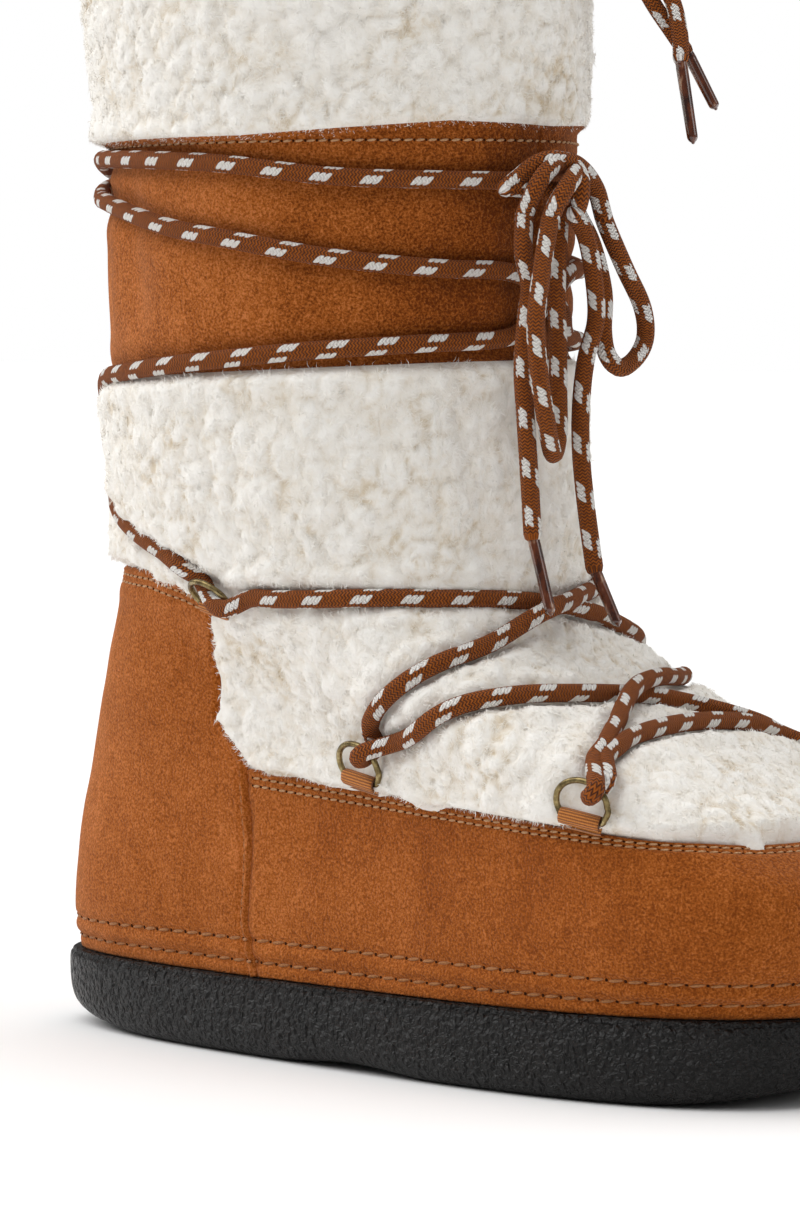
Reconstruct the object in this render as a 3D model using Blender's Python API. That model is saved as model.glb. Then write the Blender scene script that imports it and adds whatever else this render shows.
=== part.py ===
"""A lace-up winter boot with a suede rand, counter and shaft band over a fur upper.

Right boot. Millimetres inside the tables, metres in the scene.
x runs from heel to toe, y from the lateral to the medial side, z up from the floor.
"""
import math

import bmesh
import bpy
from mathutils import Matrix, Vector

# ---------------------------------------------------------------- sizes (mm)
ORIGIN_X, ORIGIN_Y = 138.5, 0.0      # middle of the boot's box, in table coordinates
FUR_CORE = 4.0                       # dense depth of the fur outside the upper's skin
OVERLAY = 1.8                        # thickness of rand and counter
GAP = 0.35                           # clearance between pieces that meet
WALL_BAND = 5.5                      # skin to lining on the shaft, padding included
WALL_FOOT = 6.5                      # skin to lining under rand and counter
SOLE_LEDGE = 3.0                     # how far the sole stands out past the upper
INSOLE_THICK = 4.0
TOE_SPRING, TOE_SPRING_FROM = 7.0, 224.0
HEEL_LIFT, HEEL_LIFT_TO = 6.0, 52.0
ARCH_RISE, ARCH_FROM, ARCH_TO = 1.8, 100.0, 164.0
TREAD_DEPTH, TREAD_WIDE = 3.0, 5.5
LACE_R = 2.6
LACE_LIFT = 4.3                      # a strand that crosses over another
DRAW_R = 2.35
AGLET_R = 1.75
RING_WIRE_R = 1.05
RING_HALF, RING_TALL = 7.2, 11.0     # centreline half width and height of a D ring
TAB_HALF = 5.2                       # half length of the webbing roll along the ring's bar
COLUMNS = 48                         # columns round the upper

# One row for each level of the upper, bottom to top. Half widths are for the
# heel, waist and ball stations at 0.2, 0.5 and 0.8 of the row's length.
ROW_COLUMNS = ("back_x", "back_z", "front_x", "front_z",
               "w_heel", "w_mid", "w_ball", "n_back", "n_front")
ROWS = (
    ("feather",  (3.0,  22.5, 271.0, 24.5, 39.5, 46.0, 54.0, 3.0, 2.6)),
    ("rand_low", (4.3,  37.0, 277.0, 44.5, 42.5, 45.0, 58.0, 3.0, 2.6)),
    ("rand_mid", (7.0,  61.5, 276.0, 60.0, 42.5, 44.5, 59.0, 2.9, 2.5)),
    ("rand_top", (12.4, 88.5, 259.0, 71.5, 41.5, 44.0, 59.5, 2.8, 2.4)),
    ("vamp",     (19.5, 113.0, 225.0, 89.0, 42.5, 42.0, 61.0, 2.6, 2.3)),
    ("instep",   (23.2, 135.0, 187.0, 108.0, 44.5, 46.0, 58.0, 2.4, 2.3)),
    ("throat",   (23.5, 153.0, 167.0, 132.0, 47.5, 53.0, 57.0, 2.2, 2.2)),
    ("ankle",    (23.0, 171.0, 164.5, 165.0, 52.5, 59.0, 58.5, 2.2, 2.2)),
    ("band_low", (21.0, 195.5, 163.5, 203.0, 55.5, 61.5, 58.5, 2.2, 2.2)),
    ("band_mid", (19.5, 229.5, 165.0, 234.5, 56.5, 62.0, 58.0, 2.2, 2.2)),
    ("band_top", (19.5, 264.0, 166.0, 265.0, 56.0, 62.5, 58.0, 2.2, 2.2)),
    ("cuff",     (16.0, 307.0, 165.0, 306.0, 58.0, 64.0, 60.5, 2.2, 2.2)),
    ("collar",   (11.0, 346.0, 162.0, 344.0, 61.5, 63.5, 63.0, 2.2, 2.2)),
)
RAND_TOP = 3.0
FUR_LOW_END, BAND_END = 7.7, 9.98    # rows where the fur stops under and starts over the band
LAST = len(ROWS) - 1

# Front edge of the heel counter: row against degrees from the toe.
COUNTER_EDGE = ((0.0, 99.8), (1.0, 102.2), (2.0, 103.0), (3.05, 104.5), (3.6, 110.5), (4.4, 108.5), (5.0, 104.5), (5.6, 100.5))
# Top edge of the heel counter: degrees from the toe against row.
COUNTER_TOP = ((100.0, 5.28), (110.0, 5.40), (126.0, 5.44), (148.0, 5.30), (180.0, 5.22))

# D rings, front to back: where the tab sits and where the ring points (degrees, row), and how far it leans out.
RING_COLUMNS = ("tab_deg", "tab_row", "aim_deg", "aim_row", "lean_deg")
RINGS = ((50.0, 3.22, 34.0, 3.82, 22), (89.0, 3.18, 84.5, 3.78, 22), (97.0, 5.36, 94.0, 5.91, 18))

# Lace strands on the upper: degrees, row, and 1 where the strand crosses over.
BAR = ((17, 4.24, 0), (0, 4.36, 0), (-17, 4.24, 0))
VAMP_CROSS = ((19, 4.40, 0), (0, 4.74, 1), (-27, 4.80, 0), (-55, 4.46, 0), (-73, 4.02, 0))
INSTEP_CROSS = ((70, 4.50, 0), (48, 5.06, 0), (26, 5.46, 0), (5, 5.86, 1), (-15, 6.05, 0),
                (-42, 6.00, 0), (-72, 5.94, 0))
WRAP = ((106, 6.16, 0), (119, 6.20, 0), (132, 6.28, 0), (150, 6.46, 0), (165, 6.76, 0), (180, 7.12, 1),
        (195, 7.46, 0), (212, 7.76, 0), (226, 7.94, 0), (245, 8.00, 0), (271, 8.05, 0), (294, 8.09, 0), (320, 8.11, 0),
        (348, 8.15, 0), (360, 8.42, 1), (372, 8.70, 0), (395, 8.76, 0), (420, 8.88, 0),
        (448, 9.12, 0), (470, 9.34, 0), (488, 9.47, 0), (508, 9.53, 0),
        (540, 9.69, 1), (572, 9.84, 0), (600, 9.83, 0),
        (631, 9.77, 0), (660, 9.62, 0), (684, 9.58, 0), (709, 9.57, 0))

# Free cord: x forward, y towards the medial side, z up.
BOW_KNOT = ((178.0, -11.0, 251.0), (6.5, 13.0, 7.5))
LACE_END_A = ((177, -24.5, 241.5), (178, -26.5, 231), (179, -24.8, 222), (179, -26.5, 212),
              (179, -28, 199), (180, -28, 185), (180, -26, 167), (181, -26, 153))
LOOP_A = ((178, -9, 242), (178, -10.5, 220), (178, -9.8, 208), (179, -11, 192), (180.5, -13, 181),
          (183, -19, 175), (186, -26.5, 184), (187, -31.5, 198), (187, -33, 212), (186, -28.5, 227),
          (184, -22, 240.5))
LACE_END_B = ((184.5, -11.5, 242), (185, -6.2, 235.5), (185, -2.2, 223.5), (184, 0.2, 212),
              (183, -3.2, 201), (183, -5.6, 188), (183, -5.5, 175), (184, -4.4, 160), (187, -4.6, 143))
LOOP_B = ((179, -1.5, 241.5), (180, 4.2, 233), (181, 8.2, 220), (182, 6.6, 209), (183, 7.5, 202),
          (184, 12.5, 198.5), (185, 19, 201.5), (185, 23.5, 207.5), (185, 21.7, 216), (184, 14.2, 227),
          (183, 6.5, 239), (182.8, 4.2, 244))
AGLET_A = ((181.4, -26, 151.2), (188, -27, 131))
AGLET_B = ((187.6, -4.6, 141.4), (195, -4.4, 127))
DRAW_KNOT = ((173.0, 26.0, 330.0), (5.5, 6.5, 5.5))
DRAW_END_A = ((178, 26, 323.5), (184, 28.5, 312), (190, 29, 302.5), (194, 27, 293), (196, 24.6, 286))
DRAW_END_B = ((172.2, 29.5, 323), (177.6, 28.2, 312), (184, 28, 302), (188, 31.8, 294), (190.6, 34.6, 288.6))
DRAW_AGLET_A = ((196.4, 24.2, 284.4), (202, 22, 262))
DRAW_AGLET_B = ((191.6, 35.2, 287.2), (199, 38, 272))

# ------------------------------------------------------------ the boot's form


def clamp(t, lo=0.0, hi=1.0):
    return max(lo, min(hi, t))


def ease(t):
    t = clamp(t)
    return t * t * (3 - 2 * t)


def table(pairs, x):
    """Straight-line reading of a two-column table."""
    if x <= pairs[0][0]:
        return pairs[0][1]
    for (x0, y0), (x1, y1) in zip(pairs, pairs[1:]):
        if x <= x1:
            return y0 + (y1 - y0) * (x - x0) / (x1 - x0)
    return pairs[-1][1]


def row_at(v):
    """The row of sizes at level v, on a smooth curve through the table's rows."""
    v = clamp(v, 0, LAST)
    i = min(int(v), LAST - 1)
    f = v - i
    r = [q[1] for q in ROWS]
    out = {}
    for k, name in enumerate(ROW_COLUMNS):
        p1, p2 = r[i][k], r[i + 1][k]
        p0 = r[i - 1][k] if i else 2 * p1 - p2
        p3 = r[i + 2][k] if i + 2 <= LAST else 2 * p2 - p1
        out[name] = 0.5 * (2 * p1 + (p2 - p0) * f + (2 * p0 - 5 * p1 + 4 * p2 - p3) * f * f
                           + (3 * p1 - p0 - 3 * p2 + p3) * f ** 3)
    return out


def swing(x):
    """The toe end turns towards the medial side."""
    u = clamp((x - 150) / 130, 0, 1.1)
    return 5 * u * u


def skin(deg, v):
    """A point of the upper's skin: deg 0 is the toe side, 90 lateral, 180 the heel."""
    r = row_at(v)
    c, s = math.cos(math.radians(deg)), math.sin(math.radians(deg))
    n = r["n_front"] if c > 0 else r["n_back"]
    t = 0.5 + 0.5 * math.copysign(abs(c) ** (2 / n), c)
    q = (t - 0.5) / 0.3
    half = (r["w_mid"] + (r["w_ball"] - r["w_heel"]) / 2 * q
            + ((r["w_ball"] + r["w_heel"]) / 2 - r["w_mid"]) * q * q)
    x = r["back_x"] + t * (r["front_x"] - r["back_x"])
    z = r["back_z"] + t * (r["front_z"] - r["back_z"])
    y = -math.copysign(abs(s) ** (2 / n), s) * half + swing(x)
    return Vector((x, y, z))


def frame_at(deg, v):
    """Along (increasing degrees), up and outward directions on the skin."""
    a = skin(deg + 1.5, v) - skin(deg - 1.5, v)
    lo, hi = max(0.0, v - 0.08), min(float(LAST), v + 0.08)
    b = skin(deg, hi) - skin(deg, lo)
    out = b.cross(a).normalized()
    return a.normalized(), b.normalized(), out


def surf(deg, v, off):
    return skin(deg, v) + frame_at(deg, v)[2] * off


def outline(deg, off):
    """The feather line moved outwards in plan."""
    a = skin(deg + 1.5, 0) - skin(deg - 1.5, 0)
    return skin(deg, 0) + Vector((-a.y, a.x, 0)).normalized() * off


def folded(deg):
    """Degrees from the toe, the same on both sides."""
    return abs((deg + 180) % 360 - 180)


def covered(deg, v):
    """1 where rand or counter lies over the upper, 0 where the fur or band shows."""
    rand = 1 - ease((v - 3.10) / 0.45)
    back = ease((folded(deg) - 90.0) / 7.5) * (1 - ease((v - 5.55) / 0.30))
    return max(rand, back)


def wall_out(deg, v):
    """Outer face of the upper against its skin."""
    if v <= FUR_LOW_END + 0.16:
        open_off = FUR_CORE * (1 - ease((v - FUR_LOW_END) / 0.16))
    else:
        open_off = FUR_CORE * ease((v - BAND_END) / 0.16)
    m = covered(deg, v)
    return open_off * (1 - m) - (OVERLAY + 1.6 * GAP) * m


def wall_in(deg, v):
    m = max(1 - ease((v - 3.1) / 1.5), covered(deg, v))
    return -WALL_BAND * (1 - m) - WALL_FOOT * m


def sole_top(x):
    r = ROWS[0][1]
    return r[1] + (r[3] - r[1]) * (x - r[0]) / (r[2] - r[0])


def sole_bottom(x):
    z = 0.0
    if x > TOE_SPRING_FROM:
        z += TOE_SPRING * ((x - TOE_SPRING_FROM) / 49) ** 2
    if x < HEEL_LIFT_TO:
        z += HEEL_LIFT * ((HEEL_LIFT_TO - x) / HEEL_LIFT_TO) ** 2
    if ARCH_FROM < x < ARCH_TO:
        z += ARCH_RISE * math.sin(math.pi * (x - ARCH_FROM) / (ARCH_TO - ARCH_FROM)) ** 2
    return z


def place(p):
    """Table coordinates to the scene."""
    return Vector(((p[0] - ORIGIN_X) / 1000, (p[1] - ORIGIN_Y) / 1000, p[2] / 1000))


def smooth_path(points, spacing):
    """Evenly spaced points on a smooth curve through the route's points."""
    p = [Vector(q) for q in points]
    dense = []
    for i in range(len(p) - 1):
        a = p[i - 1] if i else p[i] * 2 - p[i + 1]
        b, c = p[i], p[i + 1]
        d = p[i + 2] if i + 2 < len(p) else c * 2 - b
        for k in range(24):
            f = k / 24
            dense.append(0.5 * (2 * b + (c - a) * f + (2 * a - 5 * b + 4 * c - d) * f * f
                                + (3 * b - a - 3 * c + d) * f ** 3))
    dense.append(p[-1])
    run = [0.0]
    for a, b in zip(dense, dense[1:]):
        run.append(run[-1] + (b - a).length)
    n = max(3, round(run[-1] / spacing))
    out, k = [], 0
    for i in range(n + 1):
        s = run[-1] * i / n
        while k < len(dense) - 2 and run[k + 1] < s:
            k += 1
        f = clamp((s - run[k]) / max(1e-9, run[k + 1] - run[k]))
        out.append(dense[k].lerp(dense[k + 1], f))
    return out


# ------------------------------------------------------------------ the scene

for old in list(bpy.data.objects):
    bpy.data.objects.remove(old, do_unlink=True)

parts = bpy.data.collections.new("suede_boot")
cutters = bpy.data.collections.new("suede_boot_cutters")
for group in (parts, cutters):
    bpy.context.scene.collection.children.link(group)
root = bpy.data.objects.new("boot_origin", None)
parts.objects.link(root)


def material(name, colour, roughness, metallic=0.0):
    m = bpy.data.materials.new(name)
    m.use_nodes = True
    b = m.node_tree.nodes["Principled BSDF"]
    b.inputs["Base Color"].default_value = (*colour, 1)
    b.inputs["Roughness"].default_value = roughness
    b.inputs["Metallic"].default_value = metallic
    return m


SUEDE = material("suede", (0.30, 0.085, 0.018), 0.95)
FUR = material("fur", (0.78, 0.72, 0.64), 0.95)
RUBBER = material("sole_rubber", (0.02, 0.018, 0.016), 0.55)
FELT = material("insole_felt", (0.62, 0.55, 0.45), 0.95)
BRASS = material("antique_brass", (0.28, 0.20, 0.09), 0.35, 1.0)
WEBBING = material("tab_webbing", (0.28, 0.09, 0.02), 0.9)
CORD = material("lace_cord", (0.22, 0.065, 0.015), 0.85)
TIP = material("aglet_plastic", (0.10, 0.025, 0.012), 0.3)


def add_object(name, data, mat, group=parts):
    ob = bpy.data.objects.new(name, data)
    group.objects.link(ob)
    ob.parent = root
    if mat:
        data.materials.append(mat)
    if group is cutters:
        ob.hide_render = True
        ob.display_type = "WIRE"
    return ob


def finish_mesh(bm, name, mat, group=parts, smooth=True):
    bmesh.ops.recalc_face_normals(bm, faces=bm.faces[:])
    if bm.calc_volume(signed=True) < 0:
        bmesh.ops.reverse_faces(bm, faces=bm.faces[:])
    me = bpy.data.meshes.new(name)
    bm.to_mesh(me)
    bm.free()
    if smooth:
        me.shade_smooth()
        me.set_sharp_from_angle(angle=math.radians(40))
    return add_object(name, me, mat, group)


def loft(bm, rings, closed_ring=True, closed_run=False):
    """Skins a run of rings of points, all of one length."""
    loops = [[bm.verts.new(place(p)) for p in ring] for ring in rings]
    n = len(loops[0])
    pairs = list(zip(loops, loops[1:]))
    if closed_run:
        pairs.append((loops[-1], loops[0]))
    for a, b in pairs:
        for i in range(n if closed_ring else n - 1):
            j = (i + 1) % n
            bm.faces.new((a[i], a[j], b[j], b[i]))
    return loops


DEGREES = [360 * i / COLUMNS for i in range(COLUMNS)]


def level(deg, v, off, dz=0.0):
    """A point of the upper at level v; the bottom level is moved in plan only."""
    if v <= 0:
        p = outline(deg, off)
        return Vector((p.x, p.y, sole_top(p.x) + GAP + dz))
    p = surf(deg, v, off)
    return Vector((p.x, p.y, p.z + dz))


# ------------------------------------------------------------------ the upper

OUTER_LEVELS = (0, 0.4, 1.0, 1.6, 2.3, 3.1, 3.55, 4.0, 4.5, 5.0, 5.55, 5.85, 6.4, 7.0,
                7.7, 7.86, 8.5, 9.25, 9.98, 10.14, 10.8, 11.4)
INNER_LEVELS = (11.4, 10.6, 9.6, 8.6, 7.7, 6.9, 6.2, 5.5, 4.8, 4.1, 3.4, 2.6, 1.8, 1.0, 0.4, 0)
RIM = ((11.85, FUR_CORE, 0.0), (12.0, 2.6, 1.6), (12.0, 0.2, 2.4), (12.0, -2.4, 1.6), (11.85, -WALL_BAND, 0.0))

bm = bmesh.new()
rings = [[level(d, v, wall_out(d, v)) for d in DEGREES] for v in OUTER_LEVELS]
rings += [[level(d, v, off, dz) for d in DEGREES] for v, off, dz in RIM]
rings += [[level(d, v, wall_in(d, v)) for d in DEGREES] for v in INNER_LEVELS]
loft(bm, rings, closed_run=True)
upper = finish_mesh(bm, "upper", FUR)


def overlay(name, grid):
    """A shell between two faces of the upper's own form; grid holds (degrees, level)."""
    b = bmesh.new()
    faces = [[[level(d, v, off) for d, v in line] for line in grid] for off in (0.0, -OVERLAY)]
    sheets = [loft(b, f, closed_ring=False) for f in faces]
    top, low = sheets
    last = len(grid[0]) - 1
    for k in range(len(grid) - 1):
        for e in (0, last):
            b.faces.new((top[k][e], top[k + 1][e], low[k + 1][e], low[k][e]))
    for k in (0, len(grid) - 1):
        for e in range(last):
            b.faces.new((top[k][e], top[k][e + 1], low[k][e + 1], low[k][e]))
    return finish_mesh(b, name, SUEDE)


# The overlays share the upper's columns and levels, so their facets lie parallel.
STEP = 360 / COLUMNS

# The rand: low band of suede round the forefoot, between the counter's two edges.
RAND_LEVELS = [v for v in OUTER_LEVELS if v < RAND_TOP] + [RAND_TOP]
grid = []
for v in RAND_LEVELS:
    edge = table(COUNTER_EDGE, v) - 0.7
    inner = [STEP * k for k in range(-13, 14)]
    grid.append([(d, v) for d in [-edge] + inner + [edge]])
rand = overlay("rand", grid)

# The heel counter: taller suede panel round the heel.
COUNTER_LEVELS = [v for v in OUTER_LEVELS if v <= 5.0]
grid = []
for v in COUNTER_LEVELS:
    edge = table(COUNTER_EDGE, v)
    grid.append([(d, v) for d in [edge] + [STEP * k for k in range(15, 34)] + [360 - edge]])
edge = table(COUNTER_EDGE, 5.3)
grid.append([(d, table(COUNTER_TOP, folded(d)))
             for d in [edge] + [STEP * k for k in range(15, 34)] + [360 - edge]])
counter = overlay("heel_counter", grid)

# ------------------------------------------------------------------- the sole

# Side of the sole: share of its height, and how far past the feather line.
SOLE_SIDE = ((1.0, SOLE_LEDGE), (0.93, SOLE_LEDGE + 0.7), (0.60, SOLE_LEDGE + 0.8), (0.30, SOLE_LEDGE + 0.2),
             (0.11, SOLE_LEDGE - 1.6), (0.02, SOLE_LEDGE - 4.6), (0.0, SOLE_LEDGE - 7.0))
SOLE_INNER = (0.72, 0.36, 0.0)       # shares of the way from the middle line to the edge
SPINE_FROM, SPINE_TO = 44.0, 222.0


def sole_point(deg, share, off):
    p = outline(deg, off)
    x = clamp(p.x, -5, 290)
    lo, hi = sole_bottom(x), sole_top(x)
    return Vector((p.x, p.y, lo + (hi - lo) * share))


def sole_inside(deg, share, top):
    edge = outline(deg, SOLE_SIDE[0][1] if top else SOLE_SIDE[-1][1])
    sx = clamp(skin(folded(deg), 0).x, SPINE_FROM, SPINE_TO)
    p = Vector((sx, swing(sx), 0)).lerp(Vector((edge.x, edge.y, 0)), share)
    return Vector((p.x, p.y, sole_top(p.x) if top else sole_bottom(p.x)))


bm = bmesh.new()
rings = [[sole_inside(d, s, True) for d in DEGREES] for s in reversed(SOLE_INNER)]
rings += [[sole_point(d, s, off) for d in DEGREES] for s, off in SOLE_SIDE]
rings += [[sole_inside(d, s, False) for d in DEGREES] for s in SOLE_INNER]
loft(bm, rings)
bmesh.ops.remove_doubles(bm, verts=bm.verts[:], dist=1e-5)
bmesh.ops.dissolve_degenerate(bm, dist=1e-6, edges=bm.edges[:])
outsole = finish_mesh(bm, "outsole", RUBBER)

# Cross channels of the tread, closed before the sole's edge: middle x and length along y.
TREAD = ((56, 48), (74, 48), (172, 66), (189, 70), (206, 68), (222, 60))
for k, (x, wide) in enumerate(TREAD):
    bpy.ops.mesh.primitive_cube_add(size=1)
    cut = bpy.context.active_object
    for c in list(cut.users_collection):
        c.objects.unlink(cut)
    cutters.objects.link(cut)
    cut.name = f"tread_channel_{k}"
    cut.data.transform(Matrix.Diagonal((TREAD_WIDE / 1000, wide / 1000, 2 * TREAD_DEPTH / 1000, 1)))
    cut.location = place((x, swing(x), 0))
    cut.parent = root
    cut.hide_render = True
    cut.display_type = "WIRE"
    m = outsole.modifiers.new(cut.name, "BOOLEAN")
    m.operation = "DIFFERENCE"
    m.solver = "EXACT"
    m.object = cut

# The insole lies inside the upper's feather line, on the sole.
bm = bmesh.new()
rings = []
for dz in (GAP, GAP + INSOLE_THICK):
    ring = []
    for d in DEGREES[::2]:
        p = outline(d, -WALL_FOOT - 0.6)
        ring.append(Vector((p.x, p.y, sole_top(p.x) + dz)))
    rings.append(ring)
loops = loft(bm, rings)
for loop in loops:
    bm.faces.new(loop)
insole = finish_mesh(bm, "insole", FELT)

# -------------------------------------------------------------- rings and tabs


def poly_curve(name, points, radius, mat, group=parts, cyclic=False, sides=2):
    cu = bpy.data.curves.new(name, "CURVE")
    cu.dimensions = "3D"
    cu.bevel_depth = radius
    cu.bevel_resolution = sides
    cu.use_fill_caps = not cyclic
    cu.render_resolution_u = 0
    sp = cu.splines.new("POLY")
    sp.points.add(len(points) - 1)
    for q, p in zip(sp.points, points):
        q.co = (*p, 1)
    sp.use_cyclic_u = cyclic
    return add_object(name, cu, mat, group)


def ring_frame(row, side):
    """Origin on the ring's bar, and the ring's along, up and out directions."""
    tab_deg, tab_row, aim_deg, aim_row, lean_deg = row
    lean = math.radians(lean_deg)
    along, up, out = frame_at(side * tab_deg, tab_row)
    base = skin(side * tab_deg, tab_row) + out * 3.5
    to = surf(side * aim_deg, aim_row, 3.5) - base
    to = (to - out * to.dot(out)).normalized()
    up = (to * math.cos(lean) + out * math.sin(lean)).normalized()
    along = up.cross(out).normalized()
    out = along.cross(up).normalized()
    return base, along, up, out


def ring_outline():
    """A D: straight bar below, round bow above."""
    pts = [(-RING_HALF + 1.6, 0.0), (RING_HALF - 1.6, 0.0)]
    for k in range(13):
        a = math.radians(-32 + 244 * k / 12)
        pts.append((RING_HALF * math.cos(a) * (1.0 if a > 0 else 1.04), 4.4 + (RING_TALL - 4.4) * math.sin(a)))
    return pts


def tab_profile():
    """Section of the webbing roll round the bar, with a tail that goes under the suede edge."""
    outer = [(2.35 * math.cos(math.radians(a)), 2.35 * math.sin(math.radians(a))) for a in range(-20, 216, 26)]
    outer += [(-2.3, -4.2), (-0.7, -4.6)]
    inner = [(1.45 * math.cos(math.radians(a)), 1.45 * math.sin(math.radians(a))) for a in range(0, 360, 45)]
    return outer, inner


anchors = {}
for side, word in ((1, "lat"), (-1, "med")):
    for k, row in enumerate(RINGS, 1):
        base, along, up, out = ring_frame(row, side)
        pts = [place(base + along * a + up * b) for a, b in ring_outline()]
        poly_curve(f"d_ring_{word}_{k}", pts, RING_WIRE_R / 1000, BRASS, cyclic=True, sides=1)
        cu = bpy.data.curves.new(f"ring_tab_{word}_{k}", "CURVE")
        cu.dimensions = "2D"
        cu.fill_mode = "BOTH"
        cu.extrude = TAB_HALF / 1000
        cu.render_resolution_u = 0
        for loop in tab_profile():
            sp = cu.splines.new("POLY")
            sp.points.add(len(loop) - 1)
            for q, p in zip(sp.points, loop):
                q.co = (p[0] / 1000, p[1] / 1000, 0, 1)
            sp.use_cyclic_u = True
        tab = add_object(f"ring_tab_{word}_{k}", cu, WEBBING)
        # section: first axis outwards, second up the boot, extruded along the bar
        n_along, n_up, n_out = frame_at(side * row[0], row[1])
        t_up = (up - n_out * up.dot(n_out)).normalized()
        t_out = n_out
        t_along = t_out.cross(t_up).normalized()
        m = Matrix((t_out, t_up, t_along)).transposed().to_4x4()
        m.translation = place(base)
        tab.matrix_world = m
        anchors[(side, k)] = (base + up * (RING_TALL + RING_WIRE_R + LACE_R + 0.7), along, up, out)

# ------------------------------------------------------------------- the lace


def lace_level(v, lift):
    """Height of the lace's middle over the skin."""
    off = FUR_CORE * (1 - ease((v - FUR_LOW_END - 0.13) / 0.2))
    clear = 0.5 + 0.9 * (1 - ease((v - 8.0) / 0.3))
    return off + clear + LACE_R + lift * LACE_LIFT


def locate(p, deg, v):
    """Degrees, level and height over the skin of a point close to the upper."""
    for step in (6.0, 3.0, 1.5, 0.7, 0.3):
        for _ in range(12):
            tries = [(deg + step * i, v + 0.05 * step * j) for i in (-1, 0, 1) for j in (-1, 0, 1)]
            best = min(tries, key=lambda q: (skin(*q) - p).length)
            if best == (deg, v):
                break
            deg, v = best
    return deg, v, (p - skin(deg, v)).dot(frame_at(deg, v)[2])


ROW_SCALE = 20.0                     # one level counts as about 20 mm along a strand


def strand(rows, side, over, start=None, end=None):
    """A run of lace laid on the upper's form, through the rows and on to its rings."""
    pts = [(side * d, v, lace_level(v, lift * over)) for d, v, lift in rows]
    if start:
        pts.insert(0, locate(start, pts[0][0], pts[0][1]))
    if end:
        pts.append(locate(end, pts[-1][0], pts[-1][1]))
    laid = smooth_path([(d, v * ROW_SCALE, off) for d, v, off in pts], 2.0)
    return smooth_path([surf(q.x, q.y / ROW_SCALE, q.z) for q in laid], 13.0)


def anchor(side, k, way):
    """Two strands come together over each ring, a little apart."""
    p, along, up, out = anchors[(side, k)]
    return p + out * 0.5 * way + up * (0.8 * way + 0.4) + along * 0.7 * way


runs = [
    ("lace", strand(BAR, 1, 0, anchor(1, 1, 1), anchor(-1, 1, 1))),
    ("lace_vamp_a", strand(VAMP_CROSS, 1, 1, anchor(1, 1, -0.5), anchor(-1, 2, -0.5))),
    ("lace_vamp_b", strand(VAMP_CROSS, -1, 0, anchor(-1, 1, -0.5), anchor(1, 2, -0.5))),
    ("lace_instep_a", strand(INSTEP_CROSS, 1, 1, anchor(1, 2, 1), anchor(-1, 3, -0.5))),
    ("lace_instep_b", strand(INSTEP_CROSS, -1, 0, anchor(-1, 2, 1), anchor(1, 3, -0.5))),
    ("lace_wrap_a", strand(WRAP, 1, 1, anchor(1, 3, 1))),
    ("lace_wrap_b", strand(WRAP, -1, 0, anchor(-1, 3, 1))),
]
lace = None
for name, route in runs:
    pts = [place(p) for p in route]
    tube = poly_curve(name + "_route", pts, LACE_R / 1000, None, cutters, sides=1)
    bpy.context.view_layer.update()
    deps = bpy.context.evaluated_depsgraph_get()
    me = bpy.data.meshes.new_from_object(tube.evaluated_get(deps))
    bm = bmesh.new()
    bm.from_mesh(me)
    bmesh.ops.remove_doubles(bm, verts=bm.verts[:], dist=1e-6)
    bmesh.ops.recalc_face_normals(bm, faces=bm.faces[:])
    bm.to_mesh(me)
    bm.free()
    me.name = name
    bpy.data.objects.remove(tube, do_unlink=True)
    if lace is None:
        lace = add_object("lace", me, CORD)
    else:
        piece = add_object(name, me, CORD, cutters)
        m = lace.modifiers.new(name, "BOOLEAN")
        m.operation = "UNION"
        m.solver = "EXACT"
        m.object = piece

# ------------------------------------------------------- bow, ends and drawcord


def cord(name, route, radius):
    return poly_curve(name, [place(p) for p in smooth_path(route, 3.0 * 2 * radius)], radius / 1000, CORD)


def knot(name, where):
    centre, half = where
    b = bmesh.new()
    bmesh.ops.create_uvsphere(b, u_segments=10, v_segments=7, radius=1.0)
    b.transform(Matrix.Translation(place(centre)) @ Matrix.Diagonal((*(h / 1000 for h in half), 1)))
    return finish_mesh(b, name, CORD)


def aglet(name, ends):
    a, b = place(ends[0]), place(ends[1])
    m = bmesh.new()
    bmesh.ops.create_cone(m, cap_ends=True, segments=10, radius1=AGLET_R / 1000,
                          radius2=0.86 * AGLET_R / 1000, depth=(b - a).length)
    turn = Vector((0, 0, 1)).rotation_difference(b - a).to_matrix().to_4x4()
    m.transform(Matrix.Translation((a + b) / 2) @ turn)
    return finish_mesh(m, name, TIP)


knot("bow_knot", BOW_KNOT)
cord("lace_end_a", LACE_END_A, LACE_R)
cord("bow_loop_a", LOOP_A, LACE_R)
cord("lace_end_b", LACE_END_B, LACE_R)
cord("bow_loop_b", LOOP_B, LACE_R)
aglet("aglet_a", AGLET_A)
aglet("aglet_b", AGLET_B)
knot("drawcord_knot", DRAW_KNOT)
cord("drawcord_end_a", DRAW_END_A, DRAW_R)
cord("drawcord_end_b", DRAW_END_B, DRAW_R)
aglet("drawcord_aglet_a", DRAW_AGLET_A)
aglet("drawcord_aglet_b", DRAW_AGLET_B)

bpy.context.view_layer.update()
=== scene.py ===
"""Looks of a lace-up winter boot: suede panels and a deep curly fur over one upper.

Tables are in millimetres in the part's own coordinates: x from heel to toe,
y from the lateral to the medial side, z up. place() turns them into the row frame.
"""
import math

import bpy
import numpy as np
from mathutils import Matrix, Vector, noise


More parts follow.
